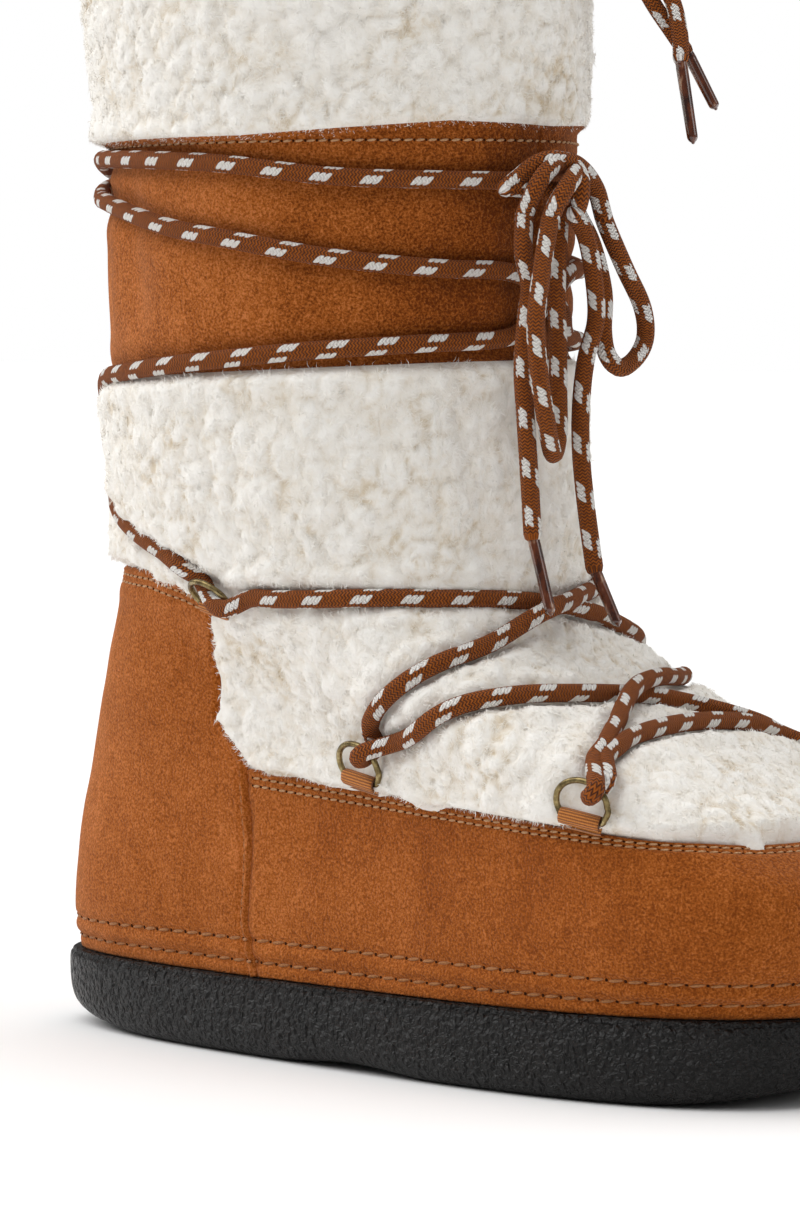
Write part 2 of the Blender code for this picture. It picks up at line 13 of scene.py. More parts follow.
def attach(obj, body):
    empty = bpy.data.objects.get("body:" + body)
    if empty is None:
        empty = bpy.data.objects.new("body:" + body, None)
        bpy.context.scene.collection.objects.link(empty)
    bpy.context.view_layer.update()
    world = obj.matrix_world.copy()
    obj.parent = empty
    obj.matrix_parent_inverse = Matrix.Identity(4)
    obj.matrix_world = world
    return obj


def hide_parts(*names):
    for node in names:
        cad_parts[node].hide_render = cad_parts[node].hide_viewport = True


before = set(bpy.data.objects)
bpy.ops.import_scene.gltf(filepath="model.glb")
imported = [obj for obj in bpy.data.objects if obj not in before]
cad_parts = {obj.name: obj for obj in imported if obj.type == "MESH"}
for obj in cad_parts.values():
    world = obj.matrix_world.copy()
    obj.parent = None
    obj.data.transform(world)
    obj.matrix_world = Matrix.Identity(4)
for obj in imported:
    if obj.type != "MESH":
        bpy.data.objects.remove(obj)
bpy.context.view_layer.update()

ORIGIN = np.array((138.5, 0.0, 0.0))

# ------------------------------------------------------------ the boot's form
# back_x, back_z, front_x, front_z, w_heel, w_mid, w_ball, n_back, n_front
ROWS = np.array((
    (3.0, 22.5, 271.0, 24.5, 39.5, 46.0, 54.0, 3.0, 2.6),      # feather
    (4.3, 37.0, 277.0, 44.5, 42.5, 45.0, 58.0, 3.0, 2.6),      # rand_low
    (7.0, 61.5, 276.0, 60.0, 42.5, 44.5, 59.0, 2.9, 2.5),      # rand_mid
    (12.4, 88.5, 259.0, 71.5, 41.5, 44.0, 59.5, 2.8, 2.4),     # rand_top
    (19.5, 113.0, 225.0, 89.0, 42.5, 42.0, 61.0, 2.6, 2.3),    # vamp
    (23.2, 135.0, 187.0, 108.0, 44.5, 46.0, 58.0, 2.4, 2.3),   # instep
    (23.5, 153.0, 167.0, 132.0, 47.5, 53.0, 57.0, 2.2, 2.2),   # throat
    (23.0, 171.0, 164.5, 165.0, 52.5, 59.0, 58.5, 2.2, 2.2),   # ankle
    (21.0, 195.5, 163.5, 203.0, 55.5, 61.5, 58.5, 2.2, 2.2),   # band_low
    (19.5, 229.5, 165.0, 234.5, 56.5, 62.0, 58.0, 2.2, 2.2),   # band_mid
    (19.5, 264.0, 166.0, 265.0, 56.0, 62.5, 58.0, 2.2, 2.2),   # band_top
    (16.0, 307.0, 165.0, 306.0, 58.0, 64.0, 60.5, 2.2, 2.2),   # cuff
    (11.0, 346.0, 162.0, 344.0, 61.5, 63.5, 63.0, 2.2, 2.2),   # collar
))
LAST = len(ROWS) - 1
COUNTER_EDGE = ((0.0, 99.8), (1.0, 102.2), (2.0, 103.0), (3.05, 104.5), (3.6, 110.5), (4.4, 108.5), (5.0, 104.5), (5.6, 100.5))
COUNTER_TOP = ((100.0, 5.28), (110.0, 5.40), (126.0, 5.44), (148.0, 5.30), (180.0, 5.22))
RAND_TOP = 3.0
FUR_LOW_END = 7.84
# Degrees from the toe against the level where the cuff's fur starts.
CUFF_EDGE = ((0.0, 9.99), (33.0, 10.02), (57.0, 9.97), (80.0, 9.92), (180.0, 9.91))
LACE_R, DRAW_R, AGLET_R = 2.6, 2.35, 1.75
RING_WIRE_R, RING_HALF, RING_TALL = 1.05, 7.2, 11.0
RINGS = ((50.0, 3.22, 34.0, 3.82, 22), (89.0, 3.18, 84.5, 3.78, 22), (97.0, 5.36, 94.0, 5.91, 18))
FUR_REACH = 5.0                      # dense part of the fur over the skin


def ease(t):
    t = np.clip(t, 0.0, 1.0)
    return t * t * (3 - 2 * t)


def table(pairs, x):
    xs, ys = zip(*pairs)
    return np.interp(x, xs, ys)


def unit(a):
    return a / np.maximum(np.linalg.norm(a, axis=-1, keepdims=True), 1e-9)


def row_at(v):
    v = np.clip(v, 0, LAST)
    i = np.minimum(v.astype(int), LAST - 1)
    f = (v - i)[..., None]
    p1, p2 = ROWS[i], ROWS[i + 1]
    p0 = np.where((i > 0)[..., None], ROWS[np.maximum(i - 1, 0)], 2 * p1 - p2)
    p3 = np.where((i + 2 <= LAST)[..., None], ROWS[np.minimum(i + 2, LAST)], 2 * p2 - p1)
    return 0.5 * (2 * p1 + (p2 - p0) * f + (2 * p0 - 5 * p1 + 4 * p2 - p3) * f * f
                  + (3 * p1 - p0 - 3 * p2 + p3) * f ** 3)


def swing(x):
    u = np.clip((x - 150) / 130, 0, 1.1)
    return 5 * u * u


def skin(deg, v):
    deg, v = np.broadcast_arrays(np.asarray(deg, float), np.asarray(v, float))
    r = row_at(v)
    c, s = np.cos(np.radians(deg)), np.sin(np.radians(deg))
    n = np.where(c > 0, r[..., 8], r[..., 7])
    t = 0.5 + 0.5 * np.sign(c) * np.abs(c) ** (2 / n)
    q = (t - 0.5) / 0.3
    half = (r[..., 5] + (r[..., 6] - r[..., 4]) / 2 * q
            + ((r[..., 6] + r[..., 4]) / 2 - r[..., 5]) * q * q)
    x = r[..., 0] + t * (r[..., 2] - r[..., 0])
    z = r[..., 1] + t * (r[..., 3] - r[..., 1])
    y = -np.sign(s) * np.abs(s) ** (2 / n) * half + swing(x)
    return np.stack([x, y, z], -1)


def frame_at(deg, v):
    deg, v = np.broadcast_arrays(np.asarray(deg, float), np.asarray(v, float))
    a = skin(deg + 1.5, v) - skin(deg - 1.5, v)
    b = skin(deg, np.minimum(v + 0.08, LAST)) - skin(deg, np.maximum(v - 0.08, 0))
    return unit(a), unit(b), unit(np.cross(b, a))


def surf(deg, v, off):
    return skin(deg, v) + frame_at(deg, v)[2] * np.asarray(off, float)[..., None]


def outline(deg, off):
    a = skin(deg + 1.5, 0.0) - skin(deg - 1.5, 0.0)
    side = unit(np.stack([-a[..., 1], a[..., 0], np.zeros_like(a[..., 0])], -1))
    return skin(deg, 0.0) + side * np.asarray(off, float)[..., None]


def folded(deg):
    return np.abs((np.asarray(deg, float) + 180) % 360 - 180)


def even_degrees(v, start, end, count, closed=False):
    """Degrees at even steps along a level, because degrees crowd at the corners."""
    d = np.linspace(start, end, 6001)
    p = skin(d, np.full_like(d, v))
    run = np.concatenate([[0], np.cumsum(np.linalg.norm(np.diff(p, axis=0), axis=1))])
    s = np.linspace(0, run[-1], count + 1 if closed else count)
    out = np.interp(s, run, d)
    return out[:-1] if closed else out


def sole_top(x):
    return 22.5 + 2.0 * (x - ROWS[0, 0]) / (ROWS[0, 2] - ROWS[0, 0])


def sole_bottom(x):
    z = 7.0 * (np.maximum(x - 224, 0) / 49) ** 2 + 6.0 * (np.maximum(52 - x, 0) / 52) ** 2
    return z + np.where((x > 100) & (x < 164), 1.8 * np.sin(np.pi * (x - 100) / 64) ** 2, 0.0)


def place(p):
    return (np.asarray(p, float) - ORIGIN) / 1000


def smooth_path(points, spacing):
    """Evenly spaced points on a smooth curve through the route's points."""
    p = np.asarray(points, float)
    ext = np.vstack([2 * p[0] - p[1], p, 2 * p[-1] - p[-2]])
    f = np.linspace(0, 1, 24, endpoint=False)[:, None]
    dense = []
    for i in range(len(p) - 1):
        a, b, c, d = ext[i:i + 4]
        dense.append(0.5 * (2 * b + (c - a) * f + (2 * a - 5 * b + 4 * c - d) * f * f
                            + (3 * b - a - 3 * c + d) * f ** 3))
    dense = np.vstack(dense + [p[-1:]])
    run = np.concatenate([[0], np.cumsum(np.linalg.norm(np.diff(dense, axis=0), axis=1))])
    s = np.linspace(0, run[-1], max(3, round(run[-1] / spacing)) + 1)
    return np.stack([np.interp(s, run, dense[:, k]) for k in range(dense.shape[1])], -1)


def noises(p, scale, seed=0.0):
    """Smooth noise from -1 to 1 at points p (mm), features about scale mm across."""
    q = np.asarray(p).reshape(-1, 3) / scale + seed
    out = np.fromiter((noise.noise(Vector(r)) for r in q), float, len(q))
    return out.reshape(np.asarray(p).shape[:-1])


# ------------------------------------------------------------------ mesh helpers

def new_mesh(name, co, quads=None, tris=None, mat=None, face_mat=None, smooth=True):
    """A mesh object from arrays; co in the row frame."""
    me = bpy.data.meshes.new(name)
    co = np.asarray(co, np.float32).reshape(-1, 3)
    parts = [np.asarray(f, np.int32) for f in (quads, tris) if f is not None and len(f)]
    idx = np.concatenate([f.ravel() for f in parts])
    sizes = np.concatenate([np.full(len(f), f.shape[1], np.int32) for f in parts])
    start = np.concatenate([[0], np.cumsum(sizes)[:-1]]).astype(np.int32)
    me.vertices.add(len(co))
    me.vertices.foreach_set("co", co.ravel())
    me.loops.add(len(idx))
    me.loops.foreach_set("vertex_index", idx)
    me.polygons.add(len(sizes))
    me.polygons.foreach_set("loop_start", start)
    me.update(calc_edges=True)
    if smooth:
        me.polygons.foreach_set("use_smooth", np.ones(len(sizes), bool))
    for m in (mat if isinstance(mat, (list, tuple)) else [mat]):
        me.materials.append(m)
    if face_mat is not None:
        me.polygons.foreach_set("material_index", np.asarray(face_mat, np.int32))
    me.validate()
    ob = bpy.data.objects.new(name, me)
    bpy.context.scene.collection.objects.link(ob)
    return ob


def grid_quads(rows, cols, closed_cols=False, closed_rows=False):
    r = np.arange(rows if closed_rows else rows - 1)
    c = np.arange(cols if closed_cols else cols - 1)
    r, c = np.meshgrid(r, c, indexing="ij")
    r1, c1 = (r + 1) % rows, (c + 1) % cols
    return np.stack([r * cols + c, r * cols + c1, r1 * cols + c1, r1 * cols + c], -1).reshape(-1, 4)


def add_uv(ob, name, per_vertex):
    me = ob.data
    layer = me.uv_layers.new(name=name)
    idx = np.empty(len(me.loops), np.int32)
    me.loops.foreach_get("vertex_index", idx)
    layer.data.foreach_set("uv", np.asarray(per_vertex, np.float32)[idx].ravel())


def sweep_frames(p):
    """Directions along a path, carried without twist."""
    t = unit(np.gradient(p, axis=0))
    ref = np.array((0.0, 0.0, 1.0)) if abs(t[0, 2]) < 0.9 else np.array((1.0, 0.0, 0.0))
    n = np.empty_like(p)
    n[0] = unit(np.cross(t[0], ref))
    for i in range(1, len(p)):
        q = n[i - 1] - t[i] * np.dot(n[i - 1], t[i])
        n[i] = q / max(np.linalg.norm(q), 1e-9)
    return t, n, np.cross(t, n)


def tube(name, path, radius, mat, sides=14, cap=True, start=0.0):
    """A round cord along path (mm), with a map along it (mm) and round it (0 to 1)."""
    p = np.asarray(path, float)
    t, n, b = sweep_frames(p)
    run = np.concatenate([[0], np.cumsum(np.linalg.norm(np.diff(p, axis=0), axis=1))]) + start
    rad = np.broadcast_to(np.asarray(radius, float), (len(p),)).copy()
    rings, along = [p], [run]
    if cap:
        head = [(-0.55, 0.84), (-0.95, 0.30)]
        p0, p1, r0, r1 = p[0], p[-1], rad[0], rad[-1]
        pre = [(p0 + t[0] * r0 * a, r0 * s, run[0]) for a, s in reversed(head)]
        post = [(p1 - t[-1] * r1 * a, r1 * s, run[-1]) for a, s in head]
        p = np.vstack([[q[0] for q in pre], p, [q[0] for q in post]])
        rad = np.concatenate([[q[1] for q in pre], rad, [q[1] for q in post]])
        run = np.concatenate([[q[2] for q in pre], run, [q[2] for q in post]])
        n = np.vstack([n[:1], n[:1], n, n[-1:], n[-1:]])
        b = np.vstack([b[:1], b[:1], b, b[-1:], b[-1:]])
    a = np.linspace(0, 2 * np.pi, sides + 1)
    co = p[:, None] + rad[:, None, None] * (np.cos(a)[None, :, None] * n[:, None] + np.sin(a)[None, :, None] * b[:, None])
    uv = np.stack(np.broadcast_arrays(run[:, None], (a / (2 * np.pi))[None, :]), -1)
    quads = grid_quads(len(p), sides + 1)
    co = co.reshape(-1, 3)
    uv = uv.reshape(-1, 2)
    tris = []
    if cap:
        for ring, flip in ((0, 1), (len(p) - 1, 0)):
            c = len(co)
            co = np.vstack([co, p[ring]])
            uv = np.vstack([uv, (run[ring], 0.5)])
            for k in range(sides):
                f = (ring * (sides + 1) + k, ring * (sides + 1) + k + 1, c)
                tris.append(f[::-1] if flip == 0 else f)
    ob = new_mesh(name, place(co), quads[:, ::-1], tris or None, mat)
    add_uv(ob, "cord", uv)
    return ob


def copies(name, shape, faces, origin, ax, ay, az, mat):
    """One joined mesh of many copies of a small shape; axes hold the copies' sizes."""
    s = np.asarray(shape, float)
    co = (origin[:, None] + s[None, :, :1] * ax[:, None] + s[None, :, 1:2] * ay[:, None] + s[None, :, 2:] * az[:, None])
    f = (np.asarray(faces)[None] + (np.arange(len(origin)) * len(s))[:, None, None]).reshape(-1, np.asarray(faces).shape[1])
    return new_mesh(name, place(co.reshape(-1, 3)), f, None, mat)


def bead(segments=6, rings=5):
    """A closed rounded bead of quads: long axis x."""
    t = np.linspace(0.12, math.pi - 0.12, rings)
    a = np.linspace(0, 2 * np.pi, segments, endpoint=False)
    co = np.stack([np.broadcast_to(-np.cos(t)[:, None], (rings, segments)),
                   np.sin(t)[:, None] * np.cos(a)[None], np.sin(t)[:, None] * np.sin(a)[None]], -1)
    return co.reshape(-1, 3), grid_quads(rings, segments, closed_cols=True)[:, ::-1]


# ------------------------------------------------------------------ materials

class Shade:
    """A material with short ways to add and join nodes."""

    def __init__(self, name, **sockets):
        self.mat = bpy.data.materials.new(name)
        self.mat.use_nodes = True
        self.tree = self.mat.node_tree
        self.bsdf = next(n for n in self.tree.nodes if n.type == "BSDF_PRINCIPLED")
        for key, value in sockets.items():
            self.bsdf.inputs[key.replace("_", " ")].default_value = value

    def node(self, kind, props=None, **links):
        n = self.tree.nodes.new("ShaderNode" + kind)
        for key, value in (props or {}).items():
            setattr(n, key, value)
        for key, value in links.items():
            sock = n.inputs[int(key[1:])] if key[0] == "i" and key[1:].isdigit() else n.inputs[key.replace("_", " ")]
            self.feed(sock, value)
        return n

    def feed(self, sock, value):
        if isinstance(value, bpy.types.NodeSocket):
            self.tree.links.new(value, sock)
        else:
            sock.default_value = value

    def where(self):
        return self.node("TexCoord").outputs["Object"]

    def stretched(self, vector, scale):
        return self.node("Mapping", Vector=vector, Scale=scale).outputs["Vector"]

    def noise(self, vector, mm, detail=3.0, rough=0.55, distortion=0.0):
        return self.node("TexNoise", Vector=vector, Scale=1000.0 / mm, Detail=detail,
                         Roughness=rough, Distortion=distortion).outputs["Fac"]

    def voronoi(self, vector, mm, feature="F1", randomness=1.0, out="Distance"):
        return self.node("TexVoronoi", {"feature": feature}, Vector=vector, Scale=1000.0 / mm,
                         Randomness=randomness).outputs[out]

    def math(self, op, a, b=0.0, c=None, clamp=False):
        links = {"i0": a, "i1": b}
        if c is not None:
            links["i2"] = c
        return self.node("Math", {"operation": op, "use_clamp": clamp}, **links).outputs[0]

    def ramp(self, value, stops):
        n = self.node("ValToRGB", Fac=value)
        el = n.color_ramp.elements
        while len(el) > 1:
            el.remove(el[-1])
        el[0].position, el[0].color = stops[0][0], stops[0][1]
        for pos, col in stops[1:]:
            el.new(pos).color = col
        return n.outputs["Color"]

    def mix(self, fac, a, b, blend="MIX"):
        n = self.node("MixRGB", {"blend_type": blend}, Fac=fac, Color1=a, Color2=b)
        return n.outputs["Color"]

    def spread(self, value, lo, hi, to_lo=0.0, to_hi=1.0):
        n = self.node("MapRange", Value=value)
        for k, x in (("From Min", lo), ("From Max", hi), ("To Min", to_lo), ("To Max", to_hi)):
            n.inputs[k].default_value = x
        return n.outputs["Result"]

    def bump(self, height, mm, strength=1.0, normal=None):
        links = dict(Height=height, Distance=mm / 1000.0, Strength=strength)
        if normal is not None:
            links["Normal"] = normal
        return self.node("Bump", **links).outputs["Normal"]

    def set(self, **sockets):
        for key, value in sockets.items():
            self.feed(self.bsdf.inputs[key.replace("_", " ")], value)
        return self.mat


def rgb(r, g, b):
    """Screen colour, 0 to 255, to the shader's linear colour."""
    return tuple(c / 12.92 if c <= 0.04045 else ((c + 0.055) / 1.055) ** 2.4 for c in (r / 255, g / 255, b / 255)) + (1.0,)


def suede(name, light, dark, deep, nap_mm=0.7, painted_falloff=None):
    s = Shade(name, Roughness=0.92, Sheen_Weight=0.18, Sheen_Roughness=0.45, Sheen_Tint=rgb(244, 222, 200),
              Specular_IOR_Level=0.08)
    at = s.where()
    patch = s.noise(s.stretched(at, (1.0, 1.0, 0.8)), 27.0, 4.0, 0.6, 0.5)
    brushed = s.noise(s.stretched(at, (1.0, 1.0, 0.5)), 2.2, 4.0, 0.7, 0.4)
    nap = s.spread(s.noise(at, nap_mm, 2.0, 0.7), 0.33, 0.67)
    tone = s.math("MULTIPLY_ADD", brushed, 0.26, s.math("MULTIPLY", patch, 0.42))
    tone = s.math("MULTIPLY_ADD", nap, 0.46, s.math("SUBTRACT", tone, 0.02))
    # painted light: the tone is raised toward the heel end and lowered toward the toe along x, a light fall-off painted
    # into the suede's colour
    if painted_falloff is not None:
        x = s.node("SeparateXYZ", Vector=at).outputs["X"]
        tone = s.math("ADD", tone, s.spread(x, painted_falloff[0], painted_falloff[1], painted_falloff[2], painted_falloff[3]))
    colour = s.ramp(tone, ((0.30, deep), (0.50, dark), (0.68, light), (0.86, tuple(min(1.0, c * 1.25 + 0.03) for c in light[:3]) + (1.0,))))
    fine = s.bump(nap, 0.28, 0.9)
    return s.set(Base_Color=colour, Normal=s.bump(brushed, 0.5, 0.5, fine))


# both suedes carry painted light: lighter toward the heel side and darker toward the front, as the light falls
SUEDE = suede("suede_tan", rgb(180, 102, 42), rgb(154, 81, 25), rgb(124, 60, 15),
              painted_falloff=(-0.115, 0.060, 0.07, -0.06))
SUEDE_BAND = suede("suede_band", rgb(182, 104, 44), rgb(151, 79, 25), rgb(106, 49, 9),
                   painted_falloff=(-0.026, 0.032, 0.09, -0.17))


def fur_material(name, tip, mid, deep, bump_mm):
    """Cream wool: pale tufts, with painted shade that darkens the creases between the curls to soft beige."""
    s = Shade(name, Roughness=0.95, Sheen_Weight=0.10, Sheen_Roughness=0.5, Specular_IOR_Level=0.08)
    at = s.where()
    patch = s.noise(at, 22.0, 3.0, 0.6)
    curl = s.noise(s.stretched(at, (1.0, 1.0, 0.8)), 4.6, 2.0, 0.55, 1.1)
    fine = s.noise(s.stretched(at, (1.0, 1.0, 0.7)), 1.7, 3.0, 0.7, 0.9)
    # painted shade: low spots of the curl noise, the painted crease shade on the mesh and low spots of the fine noise
    # darken the colour toward the deep beige
    crease = s.spread(curl, 0.52, 0.34)
    painted_crease_shade = s.node("Attribute", {"attribute_name": "painted_crease_shade"}).outputs["Fac"]
    tone = s.math("MULTIPLY_ADD", crease, 0.22, s.math("MULTIPLY", painted_crease_shade, 0.50))
    tone = s.math("MULTIPLY", tone, s.spread(patch, 0.32, 0.66, 0.35, 1.15))
    tone = s.math("MULTIPLY_ADD", s.spread(fine, 0.52, 0.30), 0.10, tone)
    colour = s.ramp(tone, ((0.06, tip), (0.36, mid), (0.85, deep)))
    height = s.math("MULTIPLY_ADD", fine, 0.45, curl)
    return s.set(Base_Color=colour, Normal=s.bump(height, bump_mm, 0.8))


# the third colour of each fur is its painted shade colour for creases and roots
FUR_BASE = fur_material("fur_ground", rgb(249, 246, 240), rgb(242, 236, 226), rgb(210, 191, 160), 0.9)
LINING = fur_material("fleece_lining", rgb(246, 242, 234), rgb(238, 230, 218), rgb(212, 196, 172), 1.6)
FUR_LOCKS = fur_material("fur_wisp", rgb(250, 247, 242), rgb(244, 239, 230), rgb(218, 201, 173), 0.3)


def rubber():
    s = Shade("black_rubber", Roughness=0.36, Specular_IOR_Level=0.28)
    at = s.where()
    cells = s.voronoi(at, 1.9, "SMOOTH_F1")
    wrinkle = s.noise(at, 1.7, 1.5, 0.5, 0.8)
    dust = s.noise(at, 14.0, 4.0, 0.65)
    height = s.math("MULTIPLY_ADD", wrinkle, 1.3, s.math("MULTIPLY", cells, -0.9))
    colour = s.ramp(dust, ((0.35, rgb(13, 12, 11)), (0.65, rgb(21, 18, 17))))
    rough = s.spread(s.noise(at, 3.0, 3.0, 0.6), 0.3, 0.7, 0.30, 0.42)
    return s.set(Base_Color=colour, Roughness=rough, Normal=s.bump(height, 2.3, 1.0))


def braid(name):
    """Brown herringbone braid with broken rows of three slanted white flecks."""
    s = Shade(name, Roughness=0.85, Sheen_Weight=0.06, Sheen_Roughness=0.5, Specular_IOR_Level=0.2)
    uv = s.node("UVMap", {"uv_map": "cord"}).outputs["UV"]
    xy = s.node("SeparateXYZ", Vector=uv)
    along, round_ = xy.outputs["X"], xy.outputs["Y"]
    slant = s.math("PINGPONG", s.math("MULTIPLY", round_, 20.0), 1.0)
    wave = s.math("ABSOLUTE", s.math("SINE", s.math("MULTIPLY", s.math("MULTIPLY_ADD", slant, 0.7, s.math("DIVIDE", along, 0.95)), math.pi)))
    height = s.math("POWER", wave, 0.6)
    lane = s.math("MULTIPLY_ADD", round_, 4.0, 0.65)
    index = s.math("FLOOR", lane)
    across = s.math("SUBTRACT", s.math("FRACT", lane), 0.5)
    moved = s.math("MULTIPLY_ADD", across, 3.1, s.math("MULTIPLY_ADD", index, 3.7, s.math("ADD", along, 138.0)))
    step = s.math("MODULO", moved, 13.8)
    dash = s.math("LESS_THAN", step, 5.1)
    phase = s.math("SUBTRACT", s.math("FRACT", s.math("DIVIDE", step, 1.7)), 0.5)
    wide = s.math("POWER", s.math("ABSOLUTE", s.math("DIVIDE", across, 0.34)), 2.6)
    thick = s.math("POWER", s.math("ABSOLUTE", s.math("DIVIDE", phase, 0.53)), 2.6)
    fleck = s.math("MULTIPLY", dash, s.spread(s.math("ADD", wide, thick), 1.15, 0.75))
    fuzz = s.noise(s.where(), 0.9, 3.0, 0.7)
    # painted shade: the brown darkens where the weave's height is low, in the grooves between the strands, on top of
    # the random fuzz
    brown = s.ramp(s.math("MULTIPLY_ADD", fuzz, 0.5, s.math("MULTIPLY", height, 0.5)),
                   ((0.30, rgb(50, 20, 2)), (0.56, rgb(108, 51, 8)), (0.80, rgb(162, 87, 24))))
    white = s.ramp(fuzz, ((0.3, rgb(228, 222, 214)), (0.7, rgb(252, 250, 247))))
    tall = s.math("MULTIPLY_ADD", fleck, 0.5, height)
    return s.set(Base_Color=s.mix(fleck, brown, white), Normal=s.bump(tall, 0.6, 0.9))


def brass():
    s = Shade("antique_brass", Metallic=1.0, Roughness=0.36)
    at = s.where()
    wear = s.noise(at, 3.0, 4.0, 0.65)
    return s.set(Base_Color=s.ramp(wear, ((0.35, rgb(86, 73, 48)), (0.55, rgb(146, 129, 88)), (0.75, rgb(198, 183, 142)))),
                 Roughness=s.spread(s.noise(at, 0.9, 3.0, 0.6), 0.3, 0.7, 0.22, 0.40),
                 Normal=s.bump(wear, 0.08, 0.4))


def webbing():
    s = Shade("tan_webbing", Roughness=0.85, Sheen_Weight=0.15, Specular_IOR_Level=0.25)
    uv = s.node("UVMap", {"uv_map": "cord"}).outputs["UV"]
    xy = s.node("SeparateXYZ", Vector=uv)
    rib = s.math("ABSOLUTE", s.math("SINE", s.math("MULTIPLY", xy.outputs["X"], math.pi / 0.85)))
    weft = s.math("ABSOLUTE", s.math("SINE", s.math("MULTIPLY", xy.outputs["Y"], math.pi / 0.55)))
    h = s.math("MULTIPLY_ADD", weft, 0.25, rib)
    fuzz = s.noise(s.where(), 0.6, 3.0, 0.7)
    # painted shade: the tan darkens in the grooves between the ribs and the weft, where h is low, on top of the random
    # fuzz
    tone = s.math("MULTIPLY_ADD", fuzz, 0.35, s.math("MULTIPLY", h, 0.55))
    return s.set(Base_Color=s.ramp(tone, ((0.2, rgb(108, 56, 18)), (0.55, rgb(176, 102, 42)), (0.85, rgb(208, 136, 68)))),
                 Normal=s.bump(h, 0.35, 0.9))


def plastic_tip():
    s = Shade("brown_tip", Roughness=0.16, Coat_Weight=0.5, Coat_Roughness=0.08, Specular_IOR_Level=0.5,
              Transmission_Weight=0.12)
    at = s.where()
    core = s.noise(s.stretched(at, (1.0, 1.0, 0.3)), 3.2, 3.0, 0.6)
    return s.set(Base_Color=s.ramp(core, ((0.40, rgb(52, 22, 12)), (0.60, rgb(104, 52, 28)), (0.70, rgb(176, 140, 112)))))


def thread(name, light, dark):
    s = Shade(name, Roughness=0.75, Sheen_Weight=0.1, Specular_IOR_Level=0.3)
    at = s.where()
    twist = s.noise(s.stretched(at, (1.0, 1.0, 1.6)), 0.55, 2.0, 0.6)
    return s.set(Base_Color=s.ramp(twist, ((0.35, dark), (0.65, light))), Normal=s.bump(twist, 0.12, 0.7))


def felt():
    s = Shade("cream_felt", Roughness=0.95, Sheen_Weight=0.2, Specular_IOR_Level=0.15)
    at = s.where()
    n = s.noise(at, 1.1, 4.0, 0.7)
    return s.set(Base_Color=s.ramp(n, ((0.35, rgb(196, 183, 165)), (0.65, rgb(228, 218, 203)))), Normal=s.bump(n, 0.5, 0.8))


# painted shade: dark brown beads set at the needle holes stand in for the shadow inside them; no hole is cut
def painted_hole_shade():
    s = Shade("needle_hole_shade", Roughness=0.95, Specular_IOR_Level=0.1)
    n = s.noise(s.where(), 0.5, 2.0, 0.6)
    return s.set(Base_Color=s.ramp(n, ((0.3, rgb(40, 20, 9)), (0.7, rgb(66, 34, 15)))))


# painted shade: a dark brown suede for the upper's faces under the rand and counter and in the seam at their edges,
# standing in for the shade in that crease
UNDER_PANEL_SHADE = suede("suede_under_panel_shade", rgb(92, 48, 20), rgb(74, 38, 15), rgb(56, 28, 10))
RUBBER, BRAID, BRASS, WEBBING, TIP, FELT = rubber(), braid("lace_braid"), brass(), webbing(), plastic_tip(), felt()
THREAD_PALE = thread("thread_beige", rgb(206, 166, 124), rgb(168, 120, 78))
THREAD_TAN = thread("thread_tan", rgb(178, 124, 76), rgb(136, 84, 44))
HOLE_SHADE = painted_hole_shade()


def finish_piece(ob):
    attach(ob, "root")
    return ob


# ------------------------------------------------------------------------ camera

YAW, REACH, EYE_Z, TARGET_X = math.radians(37.1), 1390.0, 222.5, 115.2
FOCAL_PX, HORIZON = 4795.5, 283.0
cam_data = bpy.data.cameras.new("photo_camera")
cam = bpy.data.objects.new("photo_camera", cam_data)
bpy.context.scene.collection.objects.link(cam)
cam.location = place((TARGET_X + REACH * math.sin(YAW), -REACH * math.cos(YAW), EYE_Z))
dip = math.atan2(604.5 - HORIZON, FOCAL_PX)
cam.rotation_euler = (math.radians(90) - dip, 0.0, YAW)
cam_data.sensor_fit = "VERTICAL"
cam_data.sensor_height = 24.0
cam_data.lens = 24.0 * FOCAL_PX / 1209.0
cam_data.clip_end = 60.0
bpy.context.scene.camera = cam

# ------------------------------------------------------------------- lace routes

ROW_SCALE = 20.0


def ring_frame(row, side):
    tab_deg, tab_row, aim_deg, aim_row, lean_deg = row
    lean = math.radians(lean_deg)
    _, _, out = frame_at(side * tab_deg, tab_row)
    base = skin(side * tab_deg, tab_row) + out * 3.5
    to = surf(side * aim_deg, aim_row, 3.5) - base
    to = unit(to - out * np.dot(to, out))
    up = unit(to * math.cos(lean) + out * math.sin(lean))
    along = unit(np.cross(up, out))
    return base, along, up, unit(np.cross(along, up))


RING = {(side, k): ring_frame(row, side) for side in (1, -1) for k, row in enumerate(RINGS, 1)}

